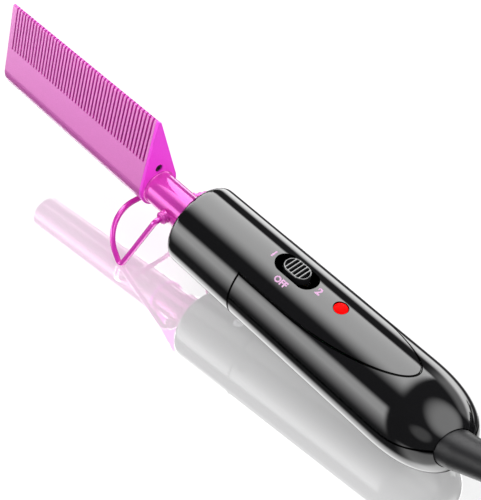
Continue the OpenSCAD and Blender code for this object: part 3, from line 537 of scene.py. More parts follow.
def make_tie():
    """Hook-and-loop strap around the coil."""
    low, high = 0.0, COIL_H + 2 * TIE_T + 0.15
    inner, outer = COIL_IN_R - TIE_T - 0.6, COIL_OUT_R + TIE_T + 0.6
    turn = Matrix.Rotation(math.radians(TIE_ANGLE), 3, "Z")
    corner = 2.4
    loop = [(inner + corner, low)]
    loop += arc((outer - corner, low + corner), corner, -90, 0, 6)
    loop += arc((outer - corner, high - corner), corner, 0, 90, 6)
    loop += arc((inner + corner, high - corner), corner, 90, 180, 6)
    loop += arc((inner + corner, low + corner), corner, 180, 270, 6)[:-1]
    rings = []
    for r, z in loop:
        outside = Vector((r, 0, z))
        inside = Vector((min(max(r, inner + TIE_T), outer - TIE_T), 0, min(max(z, low + TIE_T), high - TIE_T)))
        half = TIE_W / 2
        ring = [outside - SIDE * half, outside + SIDE * half, inside + SIDE * half, inside - SIDE * half]
        rings.append([(COIL_MIDDLE + turn @ p) * MM for p in ring])
    points, faces = loft(rings, closed=True)
    tie = soften(mesh_piece("cord_tie_strap", points, faces, tie_fabric, in_tool=False), 0.2)
    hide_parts("cord_tie")
    return tie


def plug_section(x, half_w, half_t, power):
    """Ring of the plug at a station: round at power 2, and squarer as it rises."""
    ring = []
    for a, b in circle(1, 48):
        y = half_w * math.copysign(abs(a) ** (2 / power), a)
        z = half_t * math.copysign(abs(b) ** (2 / power), b)
        ring.append((PLUG + Vector((x, y, z))) * MM)
    return ring


def make_plug():
    """Flat two-pole plug: a ribbed tail that opens into a body with a dished grip on both faces."""
    sections = [(0, 3.7, 3.7, 2), (0.6, 4.1, 4.1, 2)]
    for k in range(5):
        x = 2 + 3.4 * k
        r = 4.1 + 0.28 * k
        sections += [(x + step, r + rise, r + rise, 2)
                     for step, rise in ((0, 0), (0.5, -0.7), (1.3, -0.7), (1.8, 0.1))]
    sections += [(19.4, 5.6, 5.4, 2), (20.6, 7.2, 6.0, 2.6), (25, 8.6, 6.2, 3), (33, 12.2, 5.7, 3.4),
                 (39, 15.4, 6.0, 4), (43.5, 17.3, 6.7, 5), (46, 17.6, 6.8, 6), (51.6, 17.6, 6.8, 6),
                 (52.6, 17.1, 6.3, 6), (PLUG_LEN, 16.2, 5.4, 6)]
    rings = [plug_section(*s) for s in sections]
    points, faces = loft(rings)
    plug = keep_edges(mesh_piece("plug_shell", points, faces, plug_plastic, in_tool=False), 40)
    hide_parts("plug_body")
    return plug


def make_pins():
    """Round pins with an insulating sleeve at the root and a rounded tip."""
    made = []
    for side, label in ((-1, "left"), (1, "right")):
        root = PLUG + Vector((PLUG_LEN, side * PIN_HALF_GAP, 0))
        for name, profile, finish, slot in (
                ("sleeve", [(-1, 1.2), (-1, 1.86), (9.6, 1.86), (9.9, 1.6)], plug_plastic, "plug_plastic"),
                ("tip", [(9.7, 1.2), (9.7, 2.0), (17.6, 2.0), (18.4, 1.75), (18.85, 1.2), (19, 0.5)],
                 pin_metal, "pin_metal")):
            rings = [[(root + Vector((x, a, b))) * MM for a, b in circle(r, 32)] for x, r in profile]
            points, faces = loft(rings)
            piece = keep_edges(mesh_piece(f"plug_pin_{name}_{label}", points, faces, finish, in_tool=False), 40)
            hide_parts("plug_pins")
            made.append(piece)
    return made


cord_piece, cord_line = make_cord()
cord_extras = [make_tie(), make_plug()] + make_pins()
make_relief()
round(length_of(cord_line), 2)

# Handle shells -----------------------------------------------------------------------------------

EDGE_ROUND = 0.25
LINE_STEP = 0.8
LINE_OVERLAP = 0.4
TAIL_SAMPLES, STRAIGHT_SAMPLES = 500, 60
RIM_START = TAIL_SAMPLES + STRAIGHT_SAMPLES - 1


def handle_profile():
    """Radius and station of the handle's outline, from the tip of its tail to the hole for the neck."""
    tail = []
    for a in np.linspace(math.pi / 2, 0, TAIL_SAMPLES):
        c, n = max(math.cos(a), 0), math.sin(a)
        tail.append((HANDLE_R * c ** (2 / TAIL_POWER), -HANDLE_STRAIGHT - TAIL_LEN * n ** (2 / TAIL_POWER)))
    middle = [(HANDLE_R, s) for s in np.linspace(-HANDLE_STRAIGHT, -RIM_ROUND, STRAIGHT_SAMPLES)[1:]]
    rim = [(r, s) for s, r in arc((-RIM_ROUND, HANDLE_R - RIM_ROUND), RIM_ROUND, 90, 0, 24)[1:]]
    face = [(r, 0.0) for r in np.linspace(HANDLE_R - RIM_ROUND, NECK_R + 0.1, 12)[1:]]
    return np.array(tail + middle + rim + face)


PROFILE = handle_profile()
REACH = np.concatenate([[0], np.cumsum(np.linalg.norm(np.diff(PROFILE, axis=0), axis=1))])
SLOPE = np.gradient(PROFILE, REACH, axis=0)
SLOPE /= np.linalg.norm(SLOPE, axis=1)[:, None]
TAIL_REACH = REACH[TAIL_SAMPLES - 1]


def on_handle(reach, angle):
    """Point and outward normal of the handle's surface, by the way from the tail's tip and the angle."""
    r = np.interp(reach, REACH, PROFILE[:, 0])
    s = np.interp(reach, REACH, PROFILE[:, 1])
    dr = np.interp(reach, REACH, SLOPE[:, 0])
    ds = np.interp(reach, REACH, SLOPE[:, 1])
    point = Vector((s, r * math.sin(angle), r * math.cos(angle)))
    return point, Vector((-dr, ds * math.sin(angle), ds * math.cos(angle))).normalized()


def handle_radius(s):
    """Radius of the handle behind its rim, at a station."""
    return float(np.interp(s, PROFILE[:RIM_START, 1], PROFILE[:RIM_START, 0]))


def flatten(point):
    """A point of the surface on a disc around the tail's tip, on which the shells are cut."""
    s, y, z = point
    r = math.hypot(y, z)
    if s < -HANDLE_STRAIGHT - 0.7 * TAIL_LEN:
        reach = np.interp(r, PROFILE[:TAIL_SAMPLES, 0], REACH[:TAIL_SAMPLES])
    else:
        reach = np.interp(s, PROFILE[:RIM_START, 1], REACH[:RIM_START])
    return Vector((reach * y / r, reach * z / r))


def even(points, step):
    """The same line with points an even step apart."""
    points = np.array([tuple(p) for p in points])
    way = np.concatenate([[0], np.cumsum(np.linalg.norm(np.diff(points, axis=0), axis=1))])
    places = np.linspace(0, way[-1], max(2, round(way[-1] / step) + 1))
    return [Vector([np.interp(t, way, points[:, k]) for k in range(3)]) for t in places]


def split_height(s):
    """Height of the side seam at a station, smoothed where it rises."""
    places = [-p[0] for p in SPLIT_LINE]
    heights = [p[1] for p in SPLIT_LINE]
    return sum(np.interp(-s + d, places, heights) for d in (-3, -1.5, 0, 1.5, 3)) / 5


def leaf_half(s, grow):
    """Half width of the leaf at a station, with its seam's width added."""
    shoulder = -COLLAR_LEN - LEAF_STRAIGHT
    if s > shoulder:
        return LEAF_HALF_W + grow
    t = (shoulder - s) / (LEAF_CURVE + grow)
    return (LEAF_HALF_W + grow) * math.sqrt(max(0.0, 1 - t * t)) if t < 1 else 0.0


def ring_line(s):
    """Edge of the collar's seam, once around the handle."""
    return [Vector((s, HANDLE_R * math.sin(a), HANDLE_R * math.cos(a))) for a in np.linspace(0, math.tau, 181)]


def leaf_line(grow):
    """Edge of the leaf, from one side of the collar around its tip to the other."""
    shoulder = -COLLAR_LEN - LEAF_STRAIGHT
    line = []
    for a in np.linspace(0, math.pi / 2, 160):
        s = shoulder - (LEAF_CURVE + grow) * math.sin(a)
        y = (LEAF_HALF_W + grow) * math.cos(a)
        line.append(Vector((s, y, math.sqrt(handle_radius(s) ** 2 - y * y))))
    y = LEAF_HALF_W + grow
    stations = np.linspace(-COLLAR_LEN + LINE_OVERLAP, shoulder, 40)
    start = [Vector((s, y, math.sqrt(HANDLE_R ** 2 - y * y))) for s in stations]
    half = start + line[1:]
    return even(half + [Vector((p.x, -p.y, p.z)) for p in reversed(half[:-1])], LINE_STEP)


def split_line(drop, side):
    """Edge of the side seam, from the collar to where the two sides meet on the tail."""
    line = []
    for s in np.linspace(-COLLAR_LEN + LINE_OVERLAP, -HANDLE_STRAIGHT - TAIL_LEN, 4000):
        z = split_height(s) - drop
        r = handle_radius(s)
        if r <= z + 0.02:
            break
        line.append(Vector((s, side * math.sqrt(r * r - z * z), z)))
    return even(line, LINE_STEP)


def hole_line(middle, radius, below=False):
    """Edge of an upright round hole."""
    line = []
    for a, b in circle(radius, 48) + circle(radius, 48)[:1]:
        s, y = middle[0] + a, middle[1] + b
        z = math.sqrt(handle_radius(s) ** 2 - y * y)
        line.append(Vector((s, y, -z if below else z)))
    return line


def stadium(half_len, half_w):
    """Outline of a slot with round ends, about the switch's middle."""
    count = 20
    reach = half_len - half_w
    ends = arc((reach, 0), half_w, -90, 90, count) + arc((-reach, 0), half_w, 90, 270, count)
    sides = max(2, round(2 * reach / 0.7))
    straight = [(reach - 2 * reach * k / sides, half_w) for k in range(1, sides)]
    back = [(-x, -y) for x, y in straight]
    return ends[:count + 1] + straight + ends[count + 1:] + back


def recess_line():
    """Edge of the switch's recess."""
    line = []
    for x, y in stadium(RECESS_HALF_LEN, RECESS_HALF_W):
        line.append(Vector((-SWITCH_S + x, y, math.sqrt(HANDLE_R ** 2 - y * y))))
    return line + line[:1]


OUT_WAY = Vector((-math.cos(OUTLET_PITCH), 0, math.sin(OUTLET_PITCH)))


def outlet_line():
    """Edge of the cord outlet, where a round bore meets the tail."""
    across = SIDE
    upward = OUT_WAY.cross(across)
    line = []
    for a, b in circle(RELIEF_R + HOLE_CLEAR, 72):
        start = OUTLET + across * a + upward * b
        low, high = -25.0, 15.0
        for _ in range(40):
            t = (low + high) / 2
            p = start + OUT_WAY * t
            inside = p.x > -HANDLE_STRAIGHT - TAIL_LEN and math.hypot(p.y, p.z) < handle_radius(p.x)
            low, high = (t, high) if inside else (low, t)
        line.append(start + OUT_WAY * low)
    return line + line[:1]


def in_outlet(p):
    d = p - OUTLET
    away = (d - OUT_WAY * d.dot(OUT_WAY)).length
    return away < RELIEF_R + HOLE_CLEAR and d.dot(OUT_WAY) > -15


def cut_handle():
    """The handle's surface as triangles on the disc, with an edge along every seam and hole."""
    lines = [ring_line(-COLLAR_LEN), ring_line(-COLLAR_LEN - SEAM), leaf_line(0), leaf_line(SEAM),
             recess_line(), hole_line((-LAMP_S, 0), LENS_R + HOLE_CLEAR), outlet_line(),
             hole_line((-NECK_SCREW_S, 0), SCREW_WELL_R, True)]
    lines += [split_line(drop, side) for drop in (0, SEAM) for side in (-1, 1)]
    lines += [hole_line((-s, side * y), SCREW_WELL_R, True) for s, y in SCREW_SPOTS for side in (-1, 1)]
    flat, edges, solid = [], [], []
    for line in lines:
        first = len(flat)
        flat += [flatten(p) for p in line]
        solid += [tuple(p) for p in line]
        edges += [(first + k, first + k + 1) for k in range(len(line) - 1)]
    solid = np.array(solid)
    reach = [0.0] + list(np.arange(0.6, TAIL_REACH, 0.9))
    straight_end = TAIL_REACH + HANDLE_STRAIGHT - RIM_ROUND
    reach += list(np.linspace(TAIL_REACH, straight_end, 60))
    reach += list(np.linspace(straight_end, REACH[-1], 22)[1:])
    for q in reach:
        r = float(np.interp(q, REACH, PROFILE[:, 0]))
        count = 1 if q == 0 else int(min(120, max(8, 8 * round(math.tau * r / 8))))
        for k in range(count):
            a = math.tau * (k + 0.5 * (reach.index(q) % 2)) / count
            point, _ = on_handle(q, a)
            if np.min(np.sum((solid - np.array(point)) ** 2, axis=1)) > 0.55 ** 2:
                flat.append(Vector((q * math.sin(a), q * math.cos(a))))
    verts, _, faces, _, _, _ = delaunay_2d_cdt(flat, edges, [], 0, 1e-5, False)
    return verts, faces


def shell_of(p):
    """Which shell a point of the handle's surface belongs to, or None in a seam or a hole."""
    s, y, z = p
    if in_outlet(p):
        return None
    if abs(s + SWITCH_S) < RECESS_HALF_LEN and z > 0:
        x = max(0.0, abs(s + SWITCH_S) - RECESS_HALF_LEN + RECESS_HALF_W)
        if math.hypot(x, y) < RECESS_HALF_W:
            return None
    if z > 0 and math.hypot(s + LAMP_S, y) < LENS_R + HOLE_CLEAR:
        return None
    wells = [(NECK_SCREW_S, 0)] + [(a, side * b) for a, b in SCREW_SPOTS for side in (-1, 1)]
    if z < 0 and any(math.hypot(s + a, y - b) < SCREW_WELL_R for a, b in wells):
        return None
    if s > -COLLAR_LEN or (z > 0 and abs(y) < leaf_half(s, 0)):
        return "top"
    if s > -COLLAR_LEN - SEAM or (z > 0 and abs(y) < leaf_half(s, SEAM)):
        return None
    if z > split_height(s):
        return "rear"
    return "bottom" if z < split_height(s) - SEAM else None


def loops_of(faces):
    """Boundary loops of a set of triangles, with the triangles to their left."""
    sides = {(f[k], f[(k + 1) % 3]) for f in faces for k in range(3)}
    after = {a: b for a, b in sides if (b, a) not in sides}
    loops = []
    while after:
        loop = [next(iter(after))]
        while loop[-1] in after:
            loop.append(after.pop(loop[-1]))
        loops.append(loop[:-1])
    return loops


def bezier(a, b, c, t):
    return a * (1 - t) ** 2 + b * 2 * t * (1 - t) + c * t * t


def make_shell(name, node, verts, faces, wells):
    """A closed shell from its triangles: rounded edges, walls through its thickness and an inside skin.
    wells gives, for a loop's middle, the further rings of a deep hole: each ring's outset, its height, and
    whether it faces up or down as a floor does."""
    used = sorted({v for f in faces for v in f})
    index = {v: k for k, v in enumerate(used)}
    faces = [tuple(index[v] for v in f) for f in faces]
    pairs = [on_handle(verts[v].length, math.atan2(verts[v].x, verts[v].y)) for v in used]
    points = [p for p, _ in pairs]
    normals = [n for _, n in pairs]
    a, b, c = (points[i] for i in faces[0])
    if (b - a).cross(c - a).dot(normals[faces[0][0]]) < 0:
        faces = [f[::-1] for f in faces]
    skin = len(points)
    inside = [p - n * SHELL_WALL for p, n in pairs]
    outer, quads = list(faces), []
    points += inside
    normals += [-n for n in normals]
    edge_parts = (1 / 3, 2 / 3, 1)
    for loop in loops_of(outer):
        edge = [points[i].copy() for i in loop]
        count = len(loop)
        middle = sum(edge, Vector()) / count
        steps = wells(middle)
        rings = [[] for _ in range(len(edge_parts) + len(steps))]
        for k, i in enumerate(loop):
            n = normals[i]
            back, ahead = edge[k] - edge[k - 1], edge[(k + 1) % count] - edge[k]
            way = (back.normalized() + ahead.normalized()).normalized()
            inward = n.cross(way).normalized()
            inward /= max(0.7, inward.dot(n.cross(ahead.normalized())))
            down = -n
            if steps:
                down = Vector((0, 0, -1 if n.z > 0 else 1))
            wall = -(inward - down * inward.dot(down)).normalized()
            top = edge[k] + inward * EDGE_ROUND
            low = edge[k] + down * EDGE_ROUND
            points[i] = top
            for ring, t in zip(rings, edge_parts):
                ring.append((bezier(top, edge[k], low, t), n.lerp(wall, t).normalized()))
            flat_out = Vector((-wall.x, -wall.y, 0))
            flat_out.normalize()
            for ring, (outset, height, level) in zip(rings[len(edge_parts):], steps):
                p = edge[k] + flat_out * outset
                p.z = height
                facing = Vector((0, 0, 1 if n.z > 0 else -1)) if level else wall
                ring.append((p, facing))
        previous = list(loop)
        for ring in rings:
            first = len(points)
            points += [p for p, _ in ring]
            normals += [n for _, n in ring]
            new = list(range(first, first + count))
            quads += [(previous[k], new[k], new[(k + 1) % count], previous[(k + 1) % count]) for k in range(count)]
            previous = new
        below = [i + skin for i in loop]
        quads += [(previous[k], below[k], below[(k + 1) % count], previous[(k + 1) % count]) for k in range(count)]
    inner = [tuple(i + skin for i in f[::-1]) for f in outer]
    piece = mesh_piece(name, points, outer + [q[::-1] for q in quads] + inner, shell_black, normals=normals)
    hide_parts(node)
    return piece


def top_wells(middle):
    """The recess goes down to its floor and in to the slot."""
    if middle.z > 0 and abs(middle.x + SWITCH_S) < 1:
        slot = RECESS_HALF_W - SLOT_HALF_W
        steps = [(0, 0.3, False), (-0.3, 0, True), (-slot + 0.15, 0, True), (-slot, -0.15, False),
                 (-slot, -1.2, False), (0.5, -1.4, False)]
        return [(outset, RECESS_FLOOR_Z + rise, level) for outset, rise, level in steps]
    return []


def bottom_wells(middle):
    """The housing screws' holes go up to the seats of their heads."""
    if middle.z < 0 and any(math.hypot(middle.x + s, abs(middle.y) - y) < 1 for s, y in SCREW_SPOTS):
        seat = -6.0 if middle.x > -80 else -8.0
        return [(0, seat, False), (-1.2, seat, True), (-1.2, seat + 0.8, False), (0.6, seat + 0.8, False)]
    return []


def make_shells():
    """The three shells of the handle, each from the triangles between its seams."""
    verts, faces = cut_handle()
    sorted_faces = {"top": [], "rear": [], "bottom": []}
    for f in faces:
        mid = sum((verts[v] for v in f), Vector((0, 0))) / 3
        if mid.length > REACH[-1] - 0.02:
            continue
        point, _ = on_handle(mid.length, math.atan2(mid.x, mid.y))
        which = shell_of(point)
        if which:
            sorted_faces[which].append(tuple(f))
    make_shell("handle_top_shell", "top_shell", verts, sorted_faces["top"], top_wells)
    make_shell("handle_rear_shell", "rear_shell", verts, sorted_faces["rear"], lambda middle: [])
    make_shell("handle_bottom_shell", "bottom_shell", verts, sorted_faces["bottom"], bottom_wells)


make_shells()

# Neck and comb -----------------------------------------------------------------------------------


def between_points(start, end, parts):
    """Points that divide a straight line in a plane into parts, without its ends."""
    start, end = np.array(start), np.array(end)
    return [tuple(start + (end - start) * k / parts) for k in range(1, parts)]


def teardrop():
    """Outline of the comb's section: its round back, its flanks and its narrow tip, as (y, z)."""
    lean = math.degrees(FLANK_LEAN)
    back = arc((0, BACK_Z), BACK_R, 180 - lean, 360 + lean, 72)
    tip = arc((0, TIP_Z - TIP_R), TIP_R, lean, 180 - lean, 10)
    return back + between_points(back[-1], tip[0], 26) + tip + between_points(tip[-1], back[0], 26)


def make_neck():
    """Tube, and its teardrop flange with the hole of the screw that holds the comb."""
    profile = [(-31, BORE_R), (-31, NECK_R - 0.2), (-30.8, NECK_R), (NECK_LEN - NECK_FILLET, NECK_R)]
    profile += [(NECK_LEN - NECK_FILLET + x, NECK_R + NECK_FILLET - r)
                for x, r in arc((0, 0), NECK_FILLET, 90, 0, 6)][1:]
    profile += [(NECK_LEN + 0.4, NECK_R + NECK_FILLET - 0.1), (NECK_LEN + 0.4, BORE_R)]
    tube = mesh_piece("neck_tube_shell", *loft(lathe(profile), closed=True), neck_metal)
    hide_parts("neck_tube")
    keep_edges(tube, 40)
    outline = [Vector(p) for p in teardrop()]
    hole = [Vector((a, SCREW_Z + b)) for a, b in circle(SCREW_HOLE_R, 32)]
    edges = [(k, (k + 1) % len(outline)) for k in range(len(outline))]
    edges += [(len(outline) + k, len(outline) + (k + 1) % len(hole)) for k in range(len(hole))]
    verts, _, faces, _, _, _ = delaunay_2d_cdt(outline + hole, edges, [], 0, 1e-5, False)
    middles = [sum((verts[v] for v in f), Vector((0, 0))) / 3 for f in faces]
    faces = [tuple(f) for f, middle in zip(faces, middles)
             if (middle - Vector((0, SCREW_Z))).length > SCREW_HOLE_R]
    count = len(verts)
    points = [(NECK_LEN + s, v.x, v.y) for s in (0, FLANGE_T - 0.05) for v in verts]
    walls = []
    for loop in loops_of(faces):
        for a, b in zip(loop, loop[1:] + loop[:1]):
            walls.append((a, b, b + count, a + count))
    back = [tuple(v + count for v in f) for f in faces]
    flange = mesh_piece("neck_flange", points, [f[::-1] for f in faces] + back + walls, flange_metal)
    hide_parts("neck_tube")
    keep_edges(flange, 30)
    head = [(1.0, 0.75), (0.45, 0.8), (0.4, 1.3), (0.5, 1.65), (0.7, SCREW_HEAD_R), (1.3, SCREW_HEAD_R),
            (1.4, 1.2), (10, 1.2), (10.6, 0.4)]
    rings = lathe([(NECK_LEN + s, r) for s, r in head], 32, (0, 0, SCREW_Z))
    screw = mesh_piece("flange_screw_head", *loft(rings), screw_dark)
    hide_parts("flange_screw")
    keep_edges(screw, 40)


def make_bracket():
    """Half band under the neck, with a round knuckle on each side that the stand's wire turns in."""
    section = [(BAND_START, BAND_IN_R), (BAND_END, BAND_IN_R), (BAND_END, BAND_OUT_R - 0.3),
               (BAND_END - 0.3, BAND_OUT_R), (BAND_START + 0.3, BAND_OUT_R), (BAND_START, BAND_OUT_R - 0.3)]
    rings = []
    for angle in np.linspace(math.radians(-102), math.radians(102), 61):
        way = Vector((0, math.sin(angle), -math.cos(angle)))
        rings.append([Vector((s, 0, 0)) + way * r for s, r in section])
    pieces = [mesh_piece("bracket_band", *loft(rings), neck_metal)]
    bore_r = WIRE_R + 0.04
    profile = [(8.2, bore_r), (8.2, 2.2), (8.5, 2.75), (9.0, 2.95), (9.7, 2.95), (9.95, 2.6), (10.25, 2.6),
               (10.5, 2.8), (11.1, 2.8), (11.6, 2.5), (11.85, 2.0), (11.85, bore_r)]
    for side, label, size in ((-1, "right", 0.7), (1, "left", 1)):
        rings = [[(PIVOT_S + side * a, side * y, b) for a, b in circle(max(bore_r, r * size), 40)]
                 for y, r in profile]
        points, faces = loft(rings, closed=True)
        pieces.append(mesh_piece("bracket_knuckle_" + label, points, [f[::-1] for f in faces], neck_metal))
    for piece in pieces:
        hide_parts("stand_bracket")
        keep_edges(piece, 40)


make_bracket()
make_neck()


def make_stand():
    """Wire of the stand: pivot, leg, foot and arch, and the same back on the other side."""
    tilt_up = Vector((math.sin(TILT), 0, math.cos(TILT)))
    rest_h = RIM.z / MM
    low = -(rest_h + FOOT_S * math.sin(TILT) - WIRE_R) / math.cos(TILT)
    arch_up = Vector((math.cos(ARCH_ANGLE), 0, math.sin(ARCH_ANGLE)))
    leg = Vector((FOOT_S - PIVOT_S, FOOT_HALF_W - PIVOT_HALF_W, low)).normalized()
    foot_bend = 1.6
    bisector = (arch_up - leg).normalized()
    normal = leg.cross(arch_up).normalized()
    half = math.acos(-leg.dot(arch_up)) / 2
    sag = foot_bend * (bisector.dot(tilt_up) / math.sin(half) - math.sqrt(1 - normal.dot(tilt_up) ** 2))
    pivot = Vector((PIVOT_S, PIVOT_HALF_W, 0))
    foot = Vector((FOOT_S, FOOT_HALF_W, low - sag / math.cos(TILT)))
    arch = foot + ARCH_LEN * arch_up
    start = Vector((PIVOT_S, 8.3, 0))
    path = [start, start + SIDE * 2]
    path += bend(start, pivot, foot, 2.4, 12)
    path += bend(pivot, foot, arch, foot_bend, 14)
    path += bend(foot, arch, arch - SIDE * FOOT_HALF_W, ARCH_CORNER_R, 28)
    path += [Vector((p.x, -p.y, p.z)) for p in reversed(path)]
    rings = sweep(path, [WIRE_R] * len(path), 28)
    wire = mesh_piece("stand_wire_bent", *loft(rings), stand_metal, body="stand")
    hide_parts("stand_wire")
    keep_edges(wire, 60)


make_stand()


def make_knob():
    """Slide knob: a dished top inside a raised rim, with round ridges across it."""
    straight = KNOB_HALF_LEN - KNOB_HALF_W
    stations = np.linspace(-KNOB_HALF_LEN + 0.03, KNOB_HALF_LEN - 0.03, 131)
    points, rows = [], 41
    for x in stations:
        past = max(0.0, abs(x) - straight)
        half = math.sqrt(KNOB_HALF_W ** 2 - past ** 2)
        for t in np.linspace(-1, 1, rows):
            y = half * math.sin(t * math.pi / 2)
            inset = max(0.0, KNOB_HALF_W - math.hypot(past, y))
            edge = max(0.0, KNOB_RIM_ROUND - inset)
            ridges = sum(math.exp(-((x - place) / RIDGE_HALF_W) ** 4)
                         for place in np.linspace(-RIDGE_REACH, RIDGE_REACH, RIDGE_COUNT))
            dish = ease((inset - 0.4) / 0.4) * (1.0 - min(1.0, ridges))
            rounding = math.sqrt(KNOB_RIM_ROUND ** 2 - edge ** 2)
            points.append((x - SWITCH_S, y, KNOB_TOP_Z - KNOB_RIM_ROUND + rounding - dish))
    faces = []
    for i in range(len(stations) - 1):
        for k in range(rows - 1):
            a = i * rows + k
            faces += [(a, a + rows, a + rows + 1), (a, a + rows + 1, a + 1)]
    loop = loops_of(faces)[0]
    first = len(points)
    points += [(points[i][0], points[i][1], KNOB_BASE_Z) for i in loop]
    after = loop[1:] + loop[:1]
    for k, (a, b) in enumerate(zip(loop, after)):
        faces.append((a, first + k, first + (k + 1) % len(loop), b))
    faces.append(tuple(first + k for k in range(len(loop)))[::-1])
    knob = mesh_piece("switch_knob_ridged", points, faces, knob_black, body="switch")
    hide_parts("switch_knob")
    keep_edges(knob, 50)


make_knob()

# Lettering of the switch -------------------------------------------------------------------------


def make_label(text, s, turn_deg, size):
    """A printed word that lies on the handle and reads along it."""
    curve = bpy.data.curves.new("label", "FONT")
    curve.body = text
    curve.size = size
    curve.align_x = "CENTER"
    curve.align_y = "CENTER"
    curve.resolution_u = 6
    curve.extrude = 0.02
    curve.offset = 0.04 * size
    text_object = bpy.data.objects.new("label", curve)
    bpy.context.collection.objects.link(text_object)
    flat = bpy.data.meshes.new_from_object(text_object.evaluated_get(bpy.context.evaluated_depsgraph_get()))
    bpy.data.objects.remove(text_object)
    fine = bmesh.new()
    fine.from_mesh(flat)
    for _ in range(3):
        bmesh.ops.triangulate(fine, faces=fine.faces)
        long_edges = [e for e in fine.edges if e.calc_length() > 0.5]
        bmesh.ops.subdivide_edges(fine, edges=long_edges, cuts=1)
    bmesh.ops.triangulate(fine, faces=fine.faces)
    fine.to_mesh(flat)
    fine.free()
    points = []
    for v in flat.vertices:
        angle = math.radians(turn_deg) - v.co.y / HANDLE_R
        r = HANDLE_R + 0.03 + v.co.z
        points.append((s - v.co.x, r * math.sin(angle), r * math.cos(angle)))
    faces = [tuple(p.vertices) for p in flat.polygons]
    piece = mesh_piece("label_" + text, points, faces, label_ink)
    piece.data.polygons.foreach_set("use_smooth", [False] * len(faces))


make_label("1", -43.5, 3, 4.4)
make_label("OFF", -54.4, 24, 3.5)
make_label("2", -67.8, 3, 4.4)

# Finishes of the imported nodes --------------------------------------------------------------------

NODE_FINISHES = {
    comb_alloy: ["comb_head"],
    neck_metal: ["bracket_rivet"],
    switch_plastic: ["switch_body", "heater_terminal", "mains_terminal"],
    contact_brass: ["switch_slider"],
    screw_steel: ["neck_screw", "housing_screws", "board_screws", "clamp_screws"],
    heater_ceramic: ["heater_element"],
    shoe_alloy: ["heater_shoe_upper", "heater_shoe_lower"],
    bush_resin: ["front_bush", "rear_bush"],
    board_laminate: ["circuit_board"],
    component_finish: ["power_diode", "lamp_resistors", "capacitor", "thermal_fuse"],
    lead_sleeve: ["heater_leads", "mains_leads"],
    lamp_red: ["lamp", "lamp_lens"],
    clamp_plastic: ["cord_clamp"],
    cord_rubber: ["cord_end"],
}
for finish, nodes in NODE_FINISHES.items():
    for node in nodes:
        frame["nodes"][node].data.materials.clear()
        frame["nodes"][node].data.materials.append(finish)

soften(frame["nodes"]["comb_head"], 0.12)

# Floor, world and lights -------------------------------------------------------------------------

FLOOR_MIRROR = 0.42
MIRROR_FADES = (0.1, 0.8)
WORLD_GLOSSY, WORLD_DIFFUSE = 0.07, 0.45


def make_floor():
    """Pale glossy table, white to the camera, with a faint mirror image of what stands on it."""
    points = [(-4, -4, 0), (4, -4, 0), (4, 4, 0), (-4, 4, 0)]
    mesh = bpy.data.meshes.new("floor")
    mesh.from_pydata(points, [], [(0, 1, 2, 3)])
    floor = bpy.data.objects.new("floor", mesh)
    bpy.context.collection.objects.link(floor)
    floor.visible_glossy = False
    floor.visible_shadow = False
    made = bpy.data.materials.new("floor")
    made.use_nodes = True
    tree = made.node_tree
    tree.nodes.clear()
    path = Value(tree, tree.nodes.new("ShaderNodeLightPath").outputs["Is Camera Ray"])
    place = Value(tree, tree.nodes.new("ShaderNodeTexCoord").outputs["Object"])
    far = (place.part("X") ** 2 + place.part("Y") ** 2).between(*MIRROR_FADES)
    diffuse = path.node("ShaderNodeBsdfDiffuse", {}, {"Color": (0.82, 0.82, 0.83)})
    glows = [path.node("ShaderNodeEmission", {}, {"Color": (1, 1, 1), "Strength": strength})
             for strength in (0.5, 1)]
    near_lit, far_lit = [path.node("ShaderNodeAddShader", {}, {0: diffuse, 1: glow}) for glow in glows]
    lit = path.node("ShaderNodeMixShader", {}, {0: far, 1: near_lit, 2: far_lit})
    mirror = path.node("ShaderNodeBsdfGlossy", {}, {"Color": (1, 1, 1), "Roughness": 0.02})
    seen = path.node("ShaderNodeMixShader", {}, {0: FLOOR_MIRROR - far * FLOOR_MIRROR, 1: lit, 2: mirror})
    shown = path.node("ShaderNodeMixShader", {}, {0: path, 1: diffuse, 2: seen})
    output = tree.nodes.new("ShaderNodeOutputMaterial")
    tree.links.new(shown.socket, output.inputs["Surface"])
    mesh.materials.append(made)
    return floor


def make_world():
    """White to the camera, dark to glossy rays so that the black shells stay black, and a soft fill."""
    world = bpy.data.worlds.new("studio")
    bpy.context.scene.world = world
    world.use_nodes = True
    tree = world.node_tree
    light_path = tree.nodes.new("ShaderNodeLightPath")
    camera = Value(tree, light_path.outputs["Is Camera Ray"])
    glossy = Value(tree, light_path.outputs["Is Glossy Ray"])
    diffuse = Value(tree, light_path.outputs["Is Diffuse Ray"])
    background = tree.nodes["Background"]
    background.inputs["Color"].default_value = (1, 1, 1, 1)
    plug_in(tree, background.inputs["Strength"], camera + glossy * WORLD_GLOSSY + diffuse * WORLD_DIFFUSE)


def softbox(name, middle, width, height, radiance, seen_by):
    """An area light of even radiance, aimed at the tool and seen by either the diffuse or the glossy side of a
    finish."""
    data = bpy.data.lights.new(name, "AREA")
    data.shape = "RECTANGLE"
    data.size, data.size_y = width, height
    data.energy = radiance * math.pi * (width * height)
    lamp = bpy.data.objects.new(name, data)
    bpy.context.collection.objects.link(lamp)
    lamp.location = middle
    away = (Vector(middle) - AIM).normalized()
    lamp.rotation_euler = away.to_track_quat("Z", "Y").to_euler()
    lamp.visible_camera = False
    lamp.visible_diffuse = seen_by == "diffuse"
    lamp.visible_glossy = seen_by == "glossy"
    return lamp


